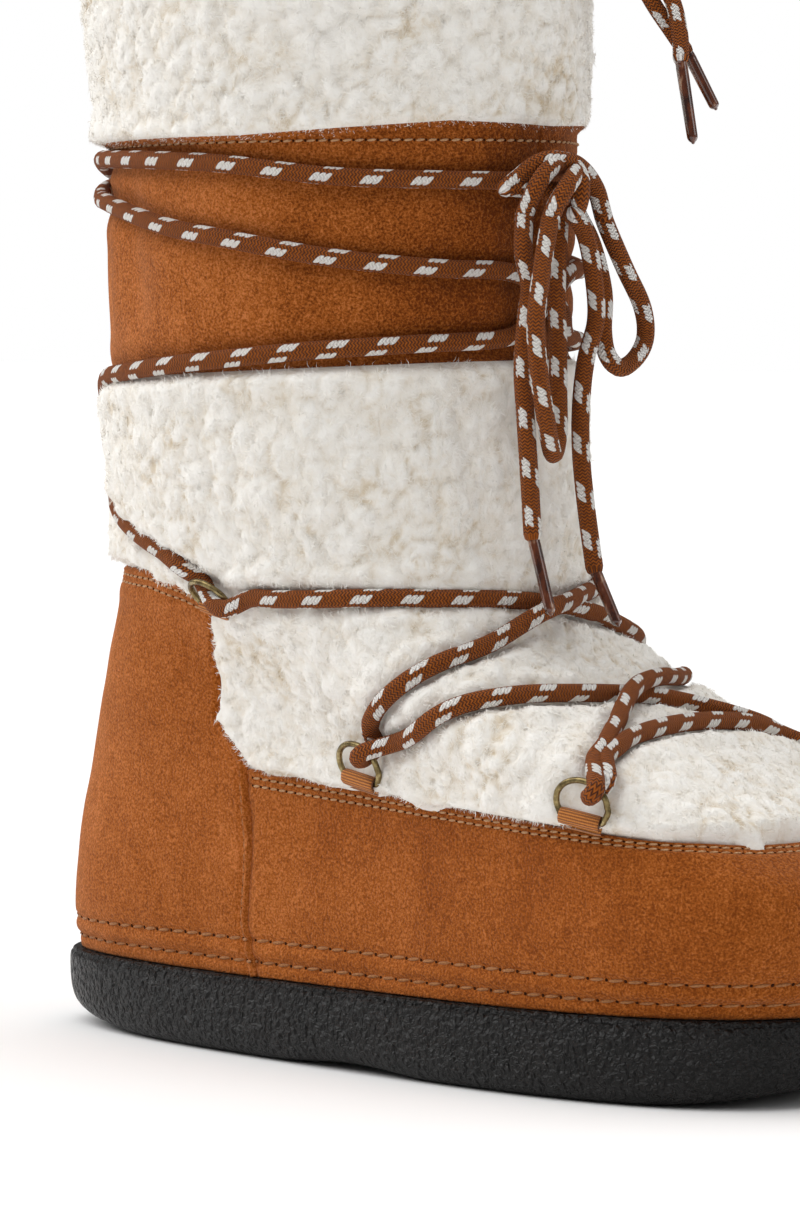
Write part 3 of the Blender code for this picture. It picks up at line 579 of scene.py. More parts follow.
# Degrees, row, and 1 where the strand lies over another, 0.5 where it is only close.
BAR = ((30, 3.95, 0), (17, 4.22, 0), (0, 4.34, 0), (-17, 4.22, 0), (-30, 3.95, 0))
VAMP = ((33, 3.92, 0), (17, 4.36, 0.2), (0, 4.73, 1), (-22, 4.80, 0.1), (-40, 4.68, 0), (-58, 4.42, 0), (-75, 3.96, 0))
INSTEP = ((80, 4.02, 0), (70, 4.50, 0), (48, 5.06, 0), (26, 5.46, 0), (8, 5.80, 1), (-12, 6.00, 0.3), (-42, 5.97, 0),
          (-70, 5.84, 0), (-84, 5.76, 0))
WRAP = ((110, 6.01, 0), (118, 6.07, 0), (132, 6.21, 0), (150, 6.44, 0), (165, 6.74, 0), (180, 7.12, 1),
        (195, 7.46, 0), (212, 7.78, 0), (226, 7.95, 0), (245, 7.99, 0), (271, 8.04, 0), (294, 8.08, 0), (320, 8.10, 0),
        (348, 8.14, 0), (360, 8.42, 1), (372, 8.70, 0), (395, 8.76, 0), (420, 8.88, 0), (448, 9.12, 0), (470, 9.34, 0),
        (488, 9.47, 0), (508, 9.53, 0), (540, 9.69, 1), (572, 9.84, 0), (600, 9.83, 0), (631, 9.77, 0), (660, 9.62, 0),
        (684, 9.58, 0), (704, 9.57, 0.2), (714, 9.58, 0.5))
# Level against how high the fur carries the lace; the low wrap sinks in.
LACE_SOFT = ((0.0, 3.0), (5.80, 3.0), (6.02, 0.7), (7.45, 0.7), (7.88, 0.1), (12.0, 0.0))


def lace_level(v, lift):
    return table(LACE_SOFT, v) + 2.55 + lift * 4.4


def strand(rows, side, over):
    pts = np.array([(side * d, v * ROW_SCALE, lace_level(v, lift * over)) for d, v, lift in rows])
    laid = smooth_path(pts, 2.0)
    return smooth_path(surf(laid[:, 0], laid[:, 1] / ROW_SCALE, laid[:, 2]), 6.0)


def through_ring(side, k, first):
    """The lace comes down in front of a ring's bow, goes through and up behind, or the other way."""
    base, along, up, out = RING[(side, k)]
    gap = RING_WIRE_R + LACE_R - 0.2
    if k == 3:
        near = along * side
        pts = [base + near * 10.5 + up * 6.4 + out * gap * 0.9, base + near * 4.6 + up * 6.2 + out * gap * 0.75,
               base - near * 0.6 + up * 6.6 - out * 0.5, base - near * 5.6 + up * 8.2 - out * gap * 0.95,
               base - near * 10.5 + up * 10.6 - out * gap * 0.8]
        return np.array(pts if first == "front" else pts[::-1])
    lean = math.radians(52)
    bow = base + along * side * RING_HALF * math.cos(lean) + up * (4.4 + (RING_TALL - 4.4) * math.sin(lean))
    away = unit(along * side * math.cos(lean) + up * math.sin(lean))
    shape = ((1.02, 2.2), (0.94, -1.0), (0.0, -gap), (-0.94, -1.0), (-0.98, 2.2))
    pts = [bow + out * gap * o + away * u for o, u in shape]
    return np.array(pts if first == "front" else pts[::-1])


def half_lace(side, over):
    return [through_ring(side, 1, "back"), strand(VAMP, side, over), through_ring(-side, 2, "front"),
            strand(INSTEP, -side, 1 - over), through_ring(side, 3, "front"), strand(WRAP, side, over)]


half_a, half_b = half_lace(1, 1), half_lace(-1, 0)
route = [q[::-1] for q in reversed(half_b)] + [strand(BAR, 1, 0)[::-1]] + half_a
LACE_PATH = smooth_path(np.vstack(route), 1.5)
for _ in range(3):
    LACE_PATH[1:-1] = 0.25 * LACE_PATH[:-2] + 0.5 * LACE_PATH[1:-1] + 0.25 * LACE_PATH[2:]


def distance_to(points, path, block=2000):
    """Distance from each point to the nearest point of a path."""
    p = np.asarray(points, np.float32).reshape(-1, 3)
    q = np.asarray(path, np.float32)
    out = np.empty(len(p), np.float32)
    qq = (q * q).sum(1)
    for i in range(0, len(p), block):
        s = p[i:i + block]
        d = (s * s).sum(1)[:, None] + qq[None] - 2 * s @ q.T
        out[i:i + block] = np.sqrt(np.maximum(d.min(1), 0))
    return out.reshape(np.asarray(points).shape[:-1])


# -------------------------------------------------------------- the upper's shell

def under_panels(deg, v, ragged=0.0):
    """1 under rand and counter, easing to 0 a little outside their edges; ragged tufts reach over an edge."""
    f = folded(deg)
    low = 1 - ease((v - 2.98 + 0.14 * ragged) / 0.14)
    inside = np.minimum((f - table(COUNTER_EDGE, v)) * 1.25, (table(COUNTER_TOP, f) - v) * 20.0)
    inside = np.where(v > 5.62, -9.0, inside)
    return np.maximum(low, ease((inside + 4.2 - 3.0 * ragged) / 4.0))


def fur_zone(deg, v, ragged=0.0):
    low = 1 - ease((v - FUR_LOW_END - 0.03 * ragged) / 0.12)
    high = ease((v - table(CUFF_EDGE, folded(deg)) + 0.03 * ragged) / 0.12)
    return np.where(v < 9.0, low, high)


COLS = 326
SHELL_DEG = even_degrees(7.0, 0.0, 360.0, COLS, closed=True)
OUT_V = np.concatenate([[0.0, 0.3], np.linspace(0.9, 2.8, 4), np.linspace(3.0, 7.7, 96), np.linspace(7.75, 8.05, 9),
                        np.linspace(8.12, 9.9, 36), np.linspace(9.94, 10.2, 9), np.linspace(10.25, 11.85, 60)])
RIM = ((11.93, 0.90, 0.0), (12.0, 0.72, 1.6), (12.0, 0.36, 2.7), (12.0, 0.0, 3.0), (12.0, -0.45, 2.4), (12.0, -0.8, 1.0))
IN_V = np.concatenate([np.linspace(11.9, 10.3, 24), np.linspace(10.1, 0.35, 26), [0.0]])

D, V = np.meshgrid(SHELL_DEG, OUT_V)
# rows near the cuff follow its lower edge
V = V + (table(CUFF_EDGE, folded(D)) - 9.95) * ease((V - 9.2) / 0.7) * (1 - ease((V - 10.2) / 1.0))
S0 = skin(D, V)
OUTN = frame_at(D, V)[2]
ragged = np.clip(1.2 * noises(S0, 10.0, 61.0), 0, 1)
for _ in range(2):
    ragged = 0.25 * np.roll(ragged, 1, 1) + 0.5 * ragged + 0.25 * np.roll(ragged, -1, 1)
covered = under_panels(D, V, ragged)
zone = fur_zone(D, V, ragged)
fur_amount = zone * (1 - covered)


def tufts(p, seed, cell):
    """Rounded tufts of curly fur from 0 to 1, and the narrow creases between them."""
    q = p.reshape(-1, 3) * (1.0, 1.0, 0.82)
    warp = np.stack([noises(q, 0.95 * cell, seed + k) for k in (1.7, 5.3, 9.1)], -1) * 0.42 * cell
    near = np.empty((len(q), 2))
    for i, r in enumerate((q + warp) / cell + seed):
        near[i] = noise.voronoi(Vector(r))[0][:2]
    rim = near[:, 1] - near[:, 0]
    dome = 0.5 * (1 - np.minimum(1.0, near[:, 0]) ** 1.6) + 0.5 * (1 - (1 - np.clip(rim / 0.6, 0, 1)) ** 2)
    crease = (1 - np.clip(rim / 0.26, 0, 1)) ** 1.3
    return dome.reshape(p.shape[:-1]), crease.reshape(p.shape[:-1])


(lumps, lump_crease), (small, small_crease) = tufts(S0, 3.0, 8.6), tufts(S0, 7.0, 4.6)
swell = noises(S0, 28.0, 11.0)
curl = noises(S0, 4.4, 17.0)
fur_height = FUR_REACH - 2.0 + 1.7 * lumps + 1.2 * small + 1.2 * swell + 0.4 * curl
lace_gap = distance_to(S0 + OUTN * 5.0, LACE_PATH[::2])
press = np.exp(-(lace_gap / 3.8) ** 2) * (0.66 - 0.30 * ease((V - 5.95) / 0.2))
fur_height = fur_height * (1 - press) + 0.9 * np.exp(-((lace_gap - 7.0) / 3.4) ** 2)
ring_points = np.array([RING[k][0] + RING[k][2] * 5 for k in RING])
ring_gap = distance_to(S0 + OUTN * 3.5, ring_points)
fur_height = fur_height * (1 - 0.7 * np.exp(-(ring_gap / 8.5) ** 2))
# painted shade amount: high in the creases between the tufts and lumps, where shade falls; the fur materials darken
# their colour by it
crease_shade_amount = np.clip(0.70 * lump_crease + 0.50 * small_crease + 0.15 * (1 - lumps), 0, 1)

# The band: lace-pinched, with soft upright folds placed at the photo's spots.
# middle degrees, slant in degrees a level, depth, half width in degrees, from level, to level
FOLDS = ((113.0, 3.0, -1.3, 5.0, 8.1, 9.9), (124.0, -2.0, 1.2, 5.5, 8.2, 9.8), (135.0, 2.5, -1.1, 5.0, 8.1, 9.7),
         (99.0, -4.0, 0.8, 6.0, 8.3, 9.5), (83.0, 2.0, -0.6, 6.0, 8.2, 9.3), (58.0, -3.0, 0.6, 7.0, 8.3, 9.4),
         (31.0, 2.0, -0.8, 5.0, 8.2, 9.5), (18.0, -1.0, 0.7, 4.5, 8.3, 9.4), (158.0, 2.0, 1.0, 7.0, 8.2, 9.7),
         (181.0, -2.0, -1.2, 6.0, 8.2, 9.8), (204.0, 3.0, 0.9, 7.0, 8.2, 9.6), (226.0, -2.0, -1.2, 6.0, 8.1, 9.8),
         (243.0, 2.0, 1.0, 6.0, 8.2, 9.7), (262.0, 3.0, -0.7, 6.0, 8.3, 9.5), (292.0, -2.0, 0.7, 7.0, 8.3, 9.4),
         (324.0, 2.0, -0.9, 6.0, 8.2, 9.5), (341.0, -1.0, 0.7, 5.0, 8.3, 9.4))
SEAM_DEG = 3.2
folds = np.zeros_like(V)
for mid, slant, deep, wide, lo, hi in FOLDS:
    away = (D - mid - slant * (V - 9.0) + 180) % 360 - 180
    folds += deep * np.exp(-(away / wide) ** 2) * ease((V - lo) / 0.5) * ease((hi - V) / 0.5)
band_gap = distance_to(S0 + OUTN * 2.6, LACE_PATH[::2])
band_off = 0.5 + folds + 0.5 * noises(S0, 22.0, 4.0) - 1.5 * np.exp(-(band_gap / 4.6) ** 2) + 0.5 * np.exp(-((band_gap - 9.0) / 4.0) ** 2)
seam_away = (D - SEAM_DEG + 180) % 360 - 180
band_off -= 1.0 * np.exp(-(seam_away / 0.75) ** 2)
band_off = np.clip(band_off, -1.6, 2.2)

off = band_off * (1 - zone) + fur_height * zone
off = off * (1 - covered) - 2.7 * covered
OUTER = S0 + OUTN * off[..., None]
feather = outline(SHELL_DEG, np.full(COLS, -2.7))
OUTER[0] = feather
OUTER[0, :, 2] = sole_top(feather[:, 0]) + 0.35

rim_rows = []
for v, share, dz in RIM:
    n = frame_at(SHELL_DEG, np.full(COLS, min(v, 11.9)))[2]
    core = FUR_REACH + 1.0 if share > 0 else 5.5
    p = skin(SHELL_DEG, np.full(COLS, v)) + n * (share * core)
    p[:, 2] += dz
    p += n * (1.1 * noises(p, 5.0, 21.0))[:, None] * (1 if share > 0 else 0.4)
    p[:, 2] += 0.9 * noises(p, 7.0, 23.0)
    rim_rows.append(p)

DI, VI = np.meshgrid(SHELL_DEG, IN_V)
SI = skin(DI, VI)
NI = frame_at(DI, VI)[2]
deep = np.maximum(1 - ease((VI - 3.1) / 1.5), under_panels(DI, VI))
fleece = -(5.6 * (1 - deep) + 6.6 * deep) - 0.9 * (0.5 + 0.5 * noises(SI, 6.0, 31.0)) * (VI > 0.5)
INNER = SI + NI * fleece[..., None]
INNER[-1] = outline(SHELL_DEG, np.full(COLS, -6.5))
INNER[-1, :, 2] = sole_top(INNER[-1, :, 0]) + 0.35

shell = np.concatenate([OUTER, np.array(rim_rows), INNER])
quads = grid_quads(len(shell), COLS, closed_cols=True, closed_rows=True)
face_row = np.repeat(np.arange(len(shell)), COLS)
row_mat = np.zeros(len(shell), int)
row_mat[len(OUT_V) + len(RIM):] = 2
face_mat = row_mat[face_row].reshape(len(shell), COLS)
face_mat[:len(OUT_V)][(fur_zone(D, V) < 0.4) & (V > 7.0)] = 1
# faces under the rand and the lower counter, and at the rand's top seam, take the dark suede of painted seam shade
inside_seam = (covered[1:] > 0.55) & (OUT_V[1:, None] < 2.9)
face_mat[:len(OUT_V) - 1][inside_seam | ((covered[1:] > 0.985) & (OUT_V[1:, None] < 3.0))] = 3
upper = new_mesh("upper_shell", place(shell), quads[:, ::-1], None, [FUR_BASE, SUEDE_BAND, LINING, UNDER_PANEL_SHADE], face_mat.ravel())
# the shell's painted crease shade; the rim and lining rows get a flat middle amount of it
painted_crease_shade = upper.data.attributes.new("painted_crease_shade", "FLOAT", "POINT")
painted_crease_shade.data.foreach_set("value", np.concatenate([crease_shade_amount, np.full((len(shell) - len(crease_shade_amount), COLS), 0.4)]).ravel().astype(np.float32))
finish_piece(upper)
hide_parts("upper")

# --------------------------------------------------------------------- fur locks

RNG = np.random.default_rng(41)


def wisps(name, dirs, amount, mesh, painted_crease_shade, count, lift=1.0, fringe=None, lace=True):
    """Fine curly wisps of fur: thin tapered ribbons that lie over the ground in swirls."""
    P = mesh
    area = np.linalg.norm(np.cross(P[1:] - P[:-1], np.roll(P, -1, 1)[:-1] - P[:-1]), axis=-1)
    weight = (area * 0.5 * (amount[1:] + amount[:-1])).ravel()
    pick = RNG.choice(len(weight), count, p=weight / weight.sum())
    r, c = pick // P.shape[1], pick % P.shape[1]
    c1 = (c + 1) % P.shape[1]
    fu, fv = RNG.random(count)[:, None], RNG.random(count)[:, None]
    at = lambda A: (A[r, c] * (1 - fu) + A[r, c1] * fu) * (1 - fv) + (A[r + 1, c] * (1 - fu) + A[r + 1, c1] * fu) * fv
    root, out, across = at(P), unit(at(dirs["normal"])), unit(at(dirs["along"]))
    low = at(painted_crease_shade[..., None])[:, 0]
    rise = unit(np.cross(P[1:] - P[:-1], np.roll(P, -1, 1)[:-1] - P[:-1]))[r, c]
    rise = np.where((rise * out).sum(1)[:, None] < 0, -rise, rise)
    face = unit(0.85 * rise + 0.15 * out)
    up = unit(np.cross(out, across))
    up = np.where(up[:, 2:] < 0, -up, up)
    heading = (2.4 * noises(root, 5.0, 41.0) + 1.3 * noises(root, 18.0, 47.0)) * math.pi + RNG.normal(0, 0.5, count)
    droop = np.zeros(count) if fringe is None else at(fringe[..., None])[:, 0]
    flow = unit(across * np.cos(heading)[:, None] + up * (np.sin(heading) - 0.25 - 1.2 * droop)[:, None])
    side = np.cross(out, flow)
    gap = distance_to(root + out * 1.5, LACE_PATH[::2]) if lace else np.full(count, 99.0)
    ring = distance_to(root + out * 2.0, ring_points) if lace else np.full(count, 99.0)
    calm = np.clip(ease((gap - 1.6) / 4.0), 0.35, 1.0) * np.clip(ease((ring - 4.0) / 8.0), 0.3, 1.0)
    stand = np.where(RNG.random(count) < 0.06, 2.2, 1.0)
    trimmed = 1 - 0.55 * np.clip(droop, 0, 1)
    tall = (0.26 + 0.40 * RNG.random(count)) * lift * calm * stand * trimmed
    long = (1.3 + 1.6 * RNG.random(count)) * np.clip(calm, 0.6, 1.0) * trimmed
    turn = (0.8 + 1.6 * RNG.random(count)) * np.where(noises(root, 6.0, 53.0) > 0, 1, -1)
    t = np.array((0.0, 0.5, 1.0))[None, :, None]
    ang = turn[:, None, None] * t
    safe = np.where(np.abs(ang) < 1e-4, 1e-4, ang)
    path = (root[:, None] - out[:, None] * 0.4 + out[:, None] * (tall[:, None, None] + 0.4) * (1.9 * t - 1.05 * t * t)
            + flow[:, None] * long[:, None, None] * t * np.sin(safe) / safe
            + side[:, None] * long[:, None, None] * t * (1 - np.cos(safe)) / safe)
    tang = unit(np.gradient(path, axis=1))
    edge = unit(np.cross(tang, np.repeat(face[:, None], 3, 1) + RNG.normal(0, 0.15, (count, 1, 3))))
    half = (0.07 + 0.06 * RNG.random(count))[:, None, None] * np.array((1.0, 0.85, 0.0))[None, :, None]
    left, right = path - edge * half, path + edge * half
    co = np.concatenate([left[:, :2], right[:, :2], path[:, 2:]], 1)
    k = (np.arange(count) * 5)[:, None]
    ob = new_mesh(name, place(co.reshape(-1, 3)), k + np.array((0, 2, 3, 1)), k + np.array((1, 3, 4)), FUR_LOCKS)
    shade = ob.data.attributes.new("painted_crease_shade", "FLOAT", "POINT")
    # painted shade along each wisp: the painted crease shade at its root, weaker toward the tip
    depth = low[:, None] * np.array((1.0, 0.7, 1.0, 0.7, 0.4))[None]
    shade.data.foreach_set("value", depth.ravel().astype(np.float32))
    return finish_piece(ob)


LOW = {"normal": OUTN, "along": frame_at(D, V)[0]}
low_rows = (OUT_V > 2.98) & (OUT_V < 8.02)
front_half = folded(D) < 74
low_amount = np.where((lace_gap < 2.6) | (fur_amount < 0.3), 0.0, fur_amount) * (ring_gap > 4.5)
low_fringe = np.clip(2.2 * covered, 0, 1)
cuff_fringe = 1 - ease((V - table(CUFF_EDGE, folded(D)) - 0.06) / 0.12)


def rows_of(mask):
    return {k: q[mask] for k, q in LOW.items()}


PER_PIECE = 42000
for word, half in (("front", front_half), ("back", ~front_half)):
    wisps(f"fur_wisps_{word}", rows_of(low_rows), (low_amount * half)[low_rows], OUTER[low_rows], crease_shade_amount[low_rows], PER_PIECE,
          fringe=low_fringe[low_rows])
top_rows = OUT_V > 9.88
cuff_amount = np.where(fur_amount < 0.3, 0.0, fur_amount)
near_half = (D > 0) & (D < 150)
for word, half in (("cuff_a", near_half), ("cuff_b", ~near_half)):
    wisps(f"fur_wisps_{word}", rows_of(top_rows), (cuff_amount * half)[top_rows], OUTER[top_rows], crease_shade_amount[top_rows], PER_PIECE - 6000,
          fringe=cuff_fringe[top_rows], lace=False)
rim_mesh = np.concatenate([OUTER[-3:], np.array(rim_rows), INNER[:18]])
rim_a = np.roll(rim_mesh, -1, 1) - np.roll(rim_mesh, 1, 1)
rim_dirs = {"normal": unit(np.cross(np.gradient(rim_mesh, axis=0), rim_a)), "along": unit(rim_a)}
rim_amount = np.repeat(np.concatenate([np.ones(12), np.linspace(1, 0.3, len(rim_mesh) - 12)])[:, None], COLS, 1)
# the rim wisps get painted crease shade of 0.4, falling with rim_amount toward the lining
wisps("fur_wisps_rim", rim_dirs, rim_amount, rim_mesh, 0.4 * rim_amount, 20000, lift=1.1, lace=False)

# ----------------------------------------------------------- rand and heel counter

PANEL = 1.8


def seam_rows(height_mm, rows, depth, width):
    """Narrow troughs that run along stitch rows at given heights."""
    out = np.zeros_like(height_mm)
    for h in rows:
        out -= depth * np.exp(-((height_mm - h) / width) ** 2)
    return out


def panel_mesh(name, deg, v, off_fn, mat, node):
    """A thick panel over the upper with rolled edges; deg and v are grids, bottom row first."""
    rows, cols = v.shape
    base = skin(deg, v)
    n = frame_at(deg, v)[2]
    flat = np.stack([n[0, :, 0], n[0, :, 1], np.zeros(cols)], -1)
    n[0] = unit(flat)
    climb = skin(deg[None], v[None] * np.linspace(0, 1, 25)[:, None, None])
    up_mm = np.linalg.norm(np.diff(climb, axis=0), axis=-1).sum(0)
    side_mm = np.concatenate([np.zeros((rows, 1)), np.cumsum(np.linalg.norm(np.diff(base, axis=1), axis=-1), axis=1)], 1)
    from_top = up_mm[-1:] - up_mm
    from_side = np.minimum(side_mm, side_mm[:, -1:] - side_mm)
    o = off_fn(deg, v, up_mm, from_top, from_side, base)
    edge = np.minimum(from_top, from_side)
    o = o - 1.5 * (1 - np.clip(edge / 1.5, 0, 1)) ** 2.2
    front = base + n * o[..., None]
    front[0, :, 2] = np.maximum(front[0, :, 2], sole_top(front[0, :, 0]) + 0.3)
    back = base - n * PANEL
    back[0, :, 2] = np.maximum(back[0, :, 2], sole_top(back[0, :, 0]) + 0.3)
    co = np.concatenate([front.reshape(-1, 3), back.reshape(-1, 3)])
    q = grid_quads(rows, cols)
    m = rows * cols
    ring = np.concatenate([np.arange(cols), np.arange(1, rows) * cols + cols - 1,
                           (rows - 1) * cols + np.arange(cols - 2, -1, -1), np.arange(rows - 2, 0, -1) * cols])
    nxt = np.roll(ring, -1)
    rim = np.stack([ring, nxt, nxt + m, ring + m], -1)
    keep = np.concatenate([np.arange(m), ring + m])
    where = np.full(len(co), -1)
    where[keep] = np.arange(len(keep))
    ob = new_mesh(name, place(co[keep]), where[np.concatenate([q[:, ::-1], rim])], None, mat)
    finish_piece(ob)
    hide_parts(node)
    return front, n, up_mm, side_mm


BOTTOM_STITCH = (4.6, 11.0)
TOP_STITCH = (2.3, 4.6)


def rand_off(deg, v, up_mm, from_top, from_side, p):
    o = 0.15 + 0.55 * noises(p, 34.0, 2.0) + 0.30 * noises(p, 12.0, 6.0)
    o += seam_rows(up_mm, BOTTOM_STITCH, 0.75, 1.2) + 0.35 * np.exp(-((up_mm - 7.8) / 1.8) ** 2)
    o += seam_rows(from_top, TOP_STITCH, 0.55, 0.8) + 0.25 * np.exp(-((from_top - 7.6) / 2.2) ** 2)
    o += 0.7 * np.exp(-((up_mm - 26) / 16) ** 2) - 1.0 * np.exp(-(from_side / 2.3) ** 2)
    return np.clip(o, -1.3, 1.6)


u = np.linspace(-1, 1, 400)
rand_v = np.concatenate([np.linspace(0, 0.9, 22), np.linspace(0.93, 2.5, 32)[0:], np.linspace(2.53, RAND_TOP, 20)])
half_deg = even_degrees(1.2, 0.0, 102.0, 200) / 102.0
even_u = np.concatenate([-half_deg[::-1], half_deg[1:]])
U, RV = np.meshgrid(even_u, rand_v)
RD = U * (table(COUNTER_EDGE, RV) + 0.7)
rand_front, rand_n, rand_up, rand_side = panel_mesh("rand_panel", RD, RV, rand_off, SUEDE, "rand")


def counter_off(deg, v, up_mm, from_top, from_side, p):
    o = 0.15 + 0.5 * noises(p, 30.0, 12.0) + 0.28 * noises(p, 11.0, 16.0)
    o += seam_rows(up_mm, BOTTOM_STITCH, 0.75, 1.2) + 0.35 * np.exp(-((up_mm - 7.8) / 1.8) ** 2)
    o += seam_rows(from_top, TOP_STITCH, 0.55, 0.8) + 0.3 * np.exp(-((from_top - 8) / 2.5) ** 2)
    low = 1 - ease((v - 2.9) / 0.5)
    o += low * (1.7 * np.exp(-((from_side - 1.6) / 1.1) ** 2) - 0.7 * np.exp(-((from_side - 3.6) / 0.9) ** 2))
    return np.clip(o, -1.3, 2.1)


half_deg = 180 - even_degrees(1.2, 102.0, 180.0, 100)
counter_u = np.concatenate([half_deg, -half_deg[::-1][1:]]) / half_deg.max()
share = np.concatenate([np.linspace(0, 0.16, 16), np.linspace(0.172, 0.88, 50), np.linspace(0.89, 1.0, 20)])
CU, CS = np.meshgrid(counter_u, share)
CV = CS * 5.3
for _ in range(6):
    CD = 180 - CU * (180 - table(COUNTER_EDGE, CV))
    CV = CS * table(COUNTER_TOP, folded(CD))
counter_front, counter_n, counter_up, counter_side = panel_mesh("heel_counter_panel", CD, CV, counter_off, SUEDE, "heel_counter")

# -------------------------------------------------------------------- stitching

BEAD, BEAD_FACES = bead()
threads = {"pale": [], "tan": []}
holes = []


def stitch_line(front, normal, height, where, pitch, long, thick, kind, trim=(0.0, 0.0), rise=0.1, hole=True):
    """Stitches along the line where height equals where on each column (or row) of a panel's grid."""
    line, nor = [], []
    for k in range(front.shape[1]):
        h = height[:, k]
        order = np.argsort(h)
        if not h.min() <= where <= h.max():
            continue
        line.append([np.interp(where, h[order], front[order, k, j]) for j in range(3)])
        nor.append([np.interp(where, h[order], normal[order, k, j]) for j in range(3)])
    line, nor = np.array(line), unit(np.array(nor))
    run = np.concatenate([[0], np.cumsum(np.linalg.norm(np.diff(line, axis=0), axis=1))])
    at = np.arange(trim[0] + pitch / 2, run[-1] - trim[1], pitch)
    take = lambda s, A: np.stack([np.interp(s, run, A[:, j]) for j in range(3)], -1)
    mid, nn = take(at, line), unit(take(at, nor))
    ax = unit(take(at + 0.3, line) - take(at - 0.3, line))
    nn = unit(nn - ax * (nn * ax).sum(1)[:, None])
    side = np.cross(nn, ax)
    lean = ax * 0.99 + side * 0.12
    threads[kind].append((mid + nn * rise, lean * long / 2, side * thick, nn * thick * 0.85))
    if hole:
        # a dark bead of painted hole shade at the end of each stitch
        ends = take(at + pitch / 2, line)
        holes.append((ends + nn * 0.02, ax * thick * 0.95, side * thick * 1.1, nn * thick * 0.5))


for front, n, up, side in ((rand_front, rand_n, rand_up, rand_side), (counter_front, counter_n, counter_up, counter_side)):
    for h in BOTTOM_STITCH:
        stitch_line(front, n, up, h, 5.8, 4.5, 0.52, "tan", (1.2, 1.2))
    for h in TOP_STITCH:
        stitch_line(front, n, up[-1:] - up, h, 3.3, 2.5, 0.40, "pale", (5.0, 5.0))
for flip in (False, True):
    f = counter_front[:, ::-1] if flip else counter_front
    n = counter_n[:, ::-1] if flip else counter_n
    s = counter_side[:, -1:] - counter_side
    s = s[:, ::-1] if flip else counter_side
    rows = (share * 5.3 > 0.12) & (share * 5.3 < 2.95)
    stitch_line(f[rows].transpose(1, 0, 2), n[rows].transpose(1, 0, 2), s[rows].T, 3.6, 3.3, 2.4, 0.34, "tan", (8.0, 2.0))

band_rows = (OUT_V > 9.6) & (OUT_V < 10.02)
band_line = OUTER[band_rows]
band_up = V[band_rows]
closed = lambda A: np.concatenate([A, A[:, :1]], 1)
stitch_line(closed(band_line), closed(OUTN[band_rows]), closed(band_up), 9.925, 3.4, 2.5, 0.40, "pale", rise=0.25)

for kind, mat in (("pale", THREAD_PALE), ("tan", THREAD_TAN)):
    parts = [np.concatenate(q) for q in zip(*threads[kind])]
    finish_piece(copies(f"stitches_{kind}", BEAD, BEAD_FACES, *parts, mat))
HOLE_BEAD, HOLE_FACES = bead(6, 4)
finish_piece(copies("stitch_hole_shade", HOLE_BEAD, HOLE_FACES, *[np.concatenate(q) for q in zip(*holes)], HOLE_SHADE))

# ------------------------------------------------------------------------ the sole

SOLE_DEG = even_degrees(0.0, 0.0, 180.0, 151)
SOLE_DEG = np.concatenate([SOLE_DEG, 360 - SOLE_DEG[-2:0:-1]])
# share of the side's height and reach past the feather line
SIDE = ((1.0, -2.0), (1.0, 1.2), (1.0, 2.45), (0.985, 2.85), (0.955, 3.05), (0.945, 3.0), (0.925, 3.45), (0.895, 3.7),
        (0.84, 3.82), (0.74, 3.86), (0.60, 3.8), (0.46, 3.65), (0.34, 3.4), (0.24, 2.95), (0.16, 2.3), (0.10, 1.45),
        (0.055, 0.4), (0.025, -0.9), (0.008, -2.3), (0.0, -4.0))


def sole_ring(share, off):
    p = outline(SOLE_DEG, np.full(len(SOLE_DEG), off))
    lo, hi = sole_bottom(np.clip(p[:, 0], -5, 290)), sole_top(p[:, 0])
    p[:, 2] = lo + (hi - lo) * share
    return p


def sole_flat(share, top):
    edge = outline(SOLE_DEG, np.full(len(SOLE_DEG), -2.0 if top else -4.0))
    sx = np.clip(skin(folded(SOLE_DEG), 0.0)[:, 0], 44.0, 222.0)
    x = sx + (edge[:, 0] - sx) * share
    y = swing(sx) + (edge[:, 1] - swing(sx)) * share
    return np.stack([x, y, sole_top(x) if top else sole_bottom(x)], -1)


rings = [sole_flat(s, True) for s in (0.0, 0.5)] + [sole_ring(s, o) for s, o in SIDE] + [sole_flat(s, False) for s in (0.86, 0.72, 0.54, 0.36, 0.18, 0.0)]
rings = np.array(rings)
sole = new_mesh("sole_unit", place(rings.reshape(-1, 3)), grid_quads(len(rings), len(SOLE_DEG), closed_cols=True), None, RUBBER)
import bmesh
bm = bmesh.new()
bm.from_mesh(sole.data)
bmesh.ops.remove_doubles(bm, verts=bm.verts[:], dist=1e-5)
bmesh.ops.dissolve_degenerate(bm, dist=1e-6, edges=bm.edges[:])
bmesh.ops.recalc_face_normals(bm, faces=bm.faces[:])
bm.to_mesh(sole.data)
bm.free()
TREAD = ((56, 48), (74, 48), (172, 66), (189, 70), (206, 68), (222, 60))
for k, (x, wide) in enumerate(TREAD):
    bpy.ops.mesh.primitive_cube_add(size=1)
    cut = bpy.context.active_object
    for vert in cut.data.vertices:
        vert.co = Vector((vert.co.x * 0.0055, vert.co.y * wide / 1000, vert.co.z * 0.006))
    cut.location = place((x, float(swing(np.float64(x))), 0))
    bpy.context.view_layer.update()
    m = sole.modifiers.new("channel", "BOOLEAN")
    m.operation, m.solver, m.object = "DIFFERENCE", "EXACT", cut
    done = bpy.data.meshes.new_from_object(sole.evaluated_get(bpy.context.evaluated_depsgraph_get()))
    sole.modifiers.clear()
    sole.data = done
    bpy.data.objects.remove(cut, do_unlink=True)
finish_piece(sole)
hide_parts("outsole")

insole = bpy.data.objects["insole"]
for s in insole.material_slots:
    s.material = FELT

# ----------------------------------------------------------------- rings and tabs

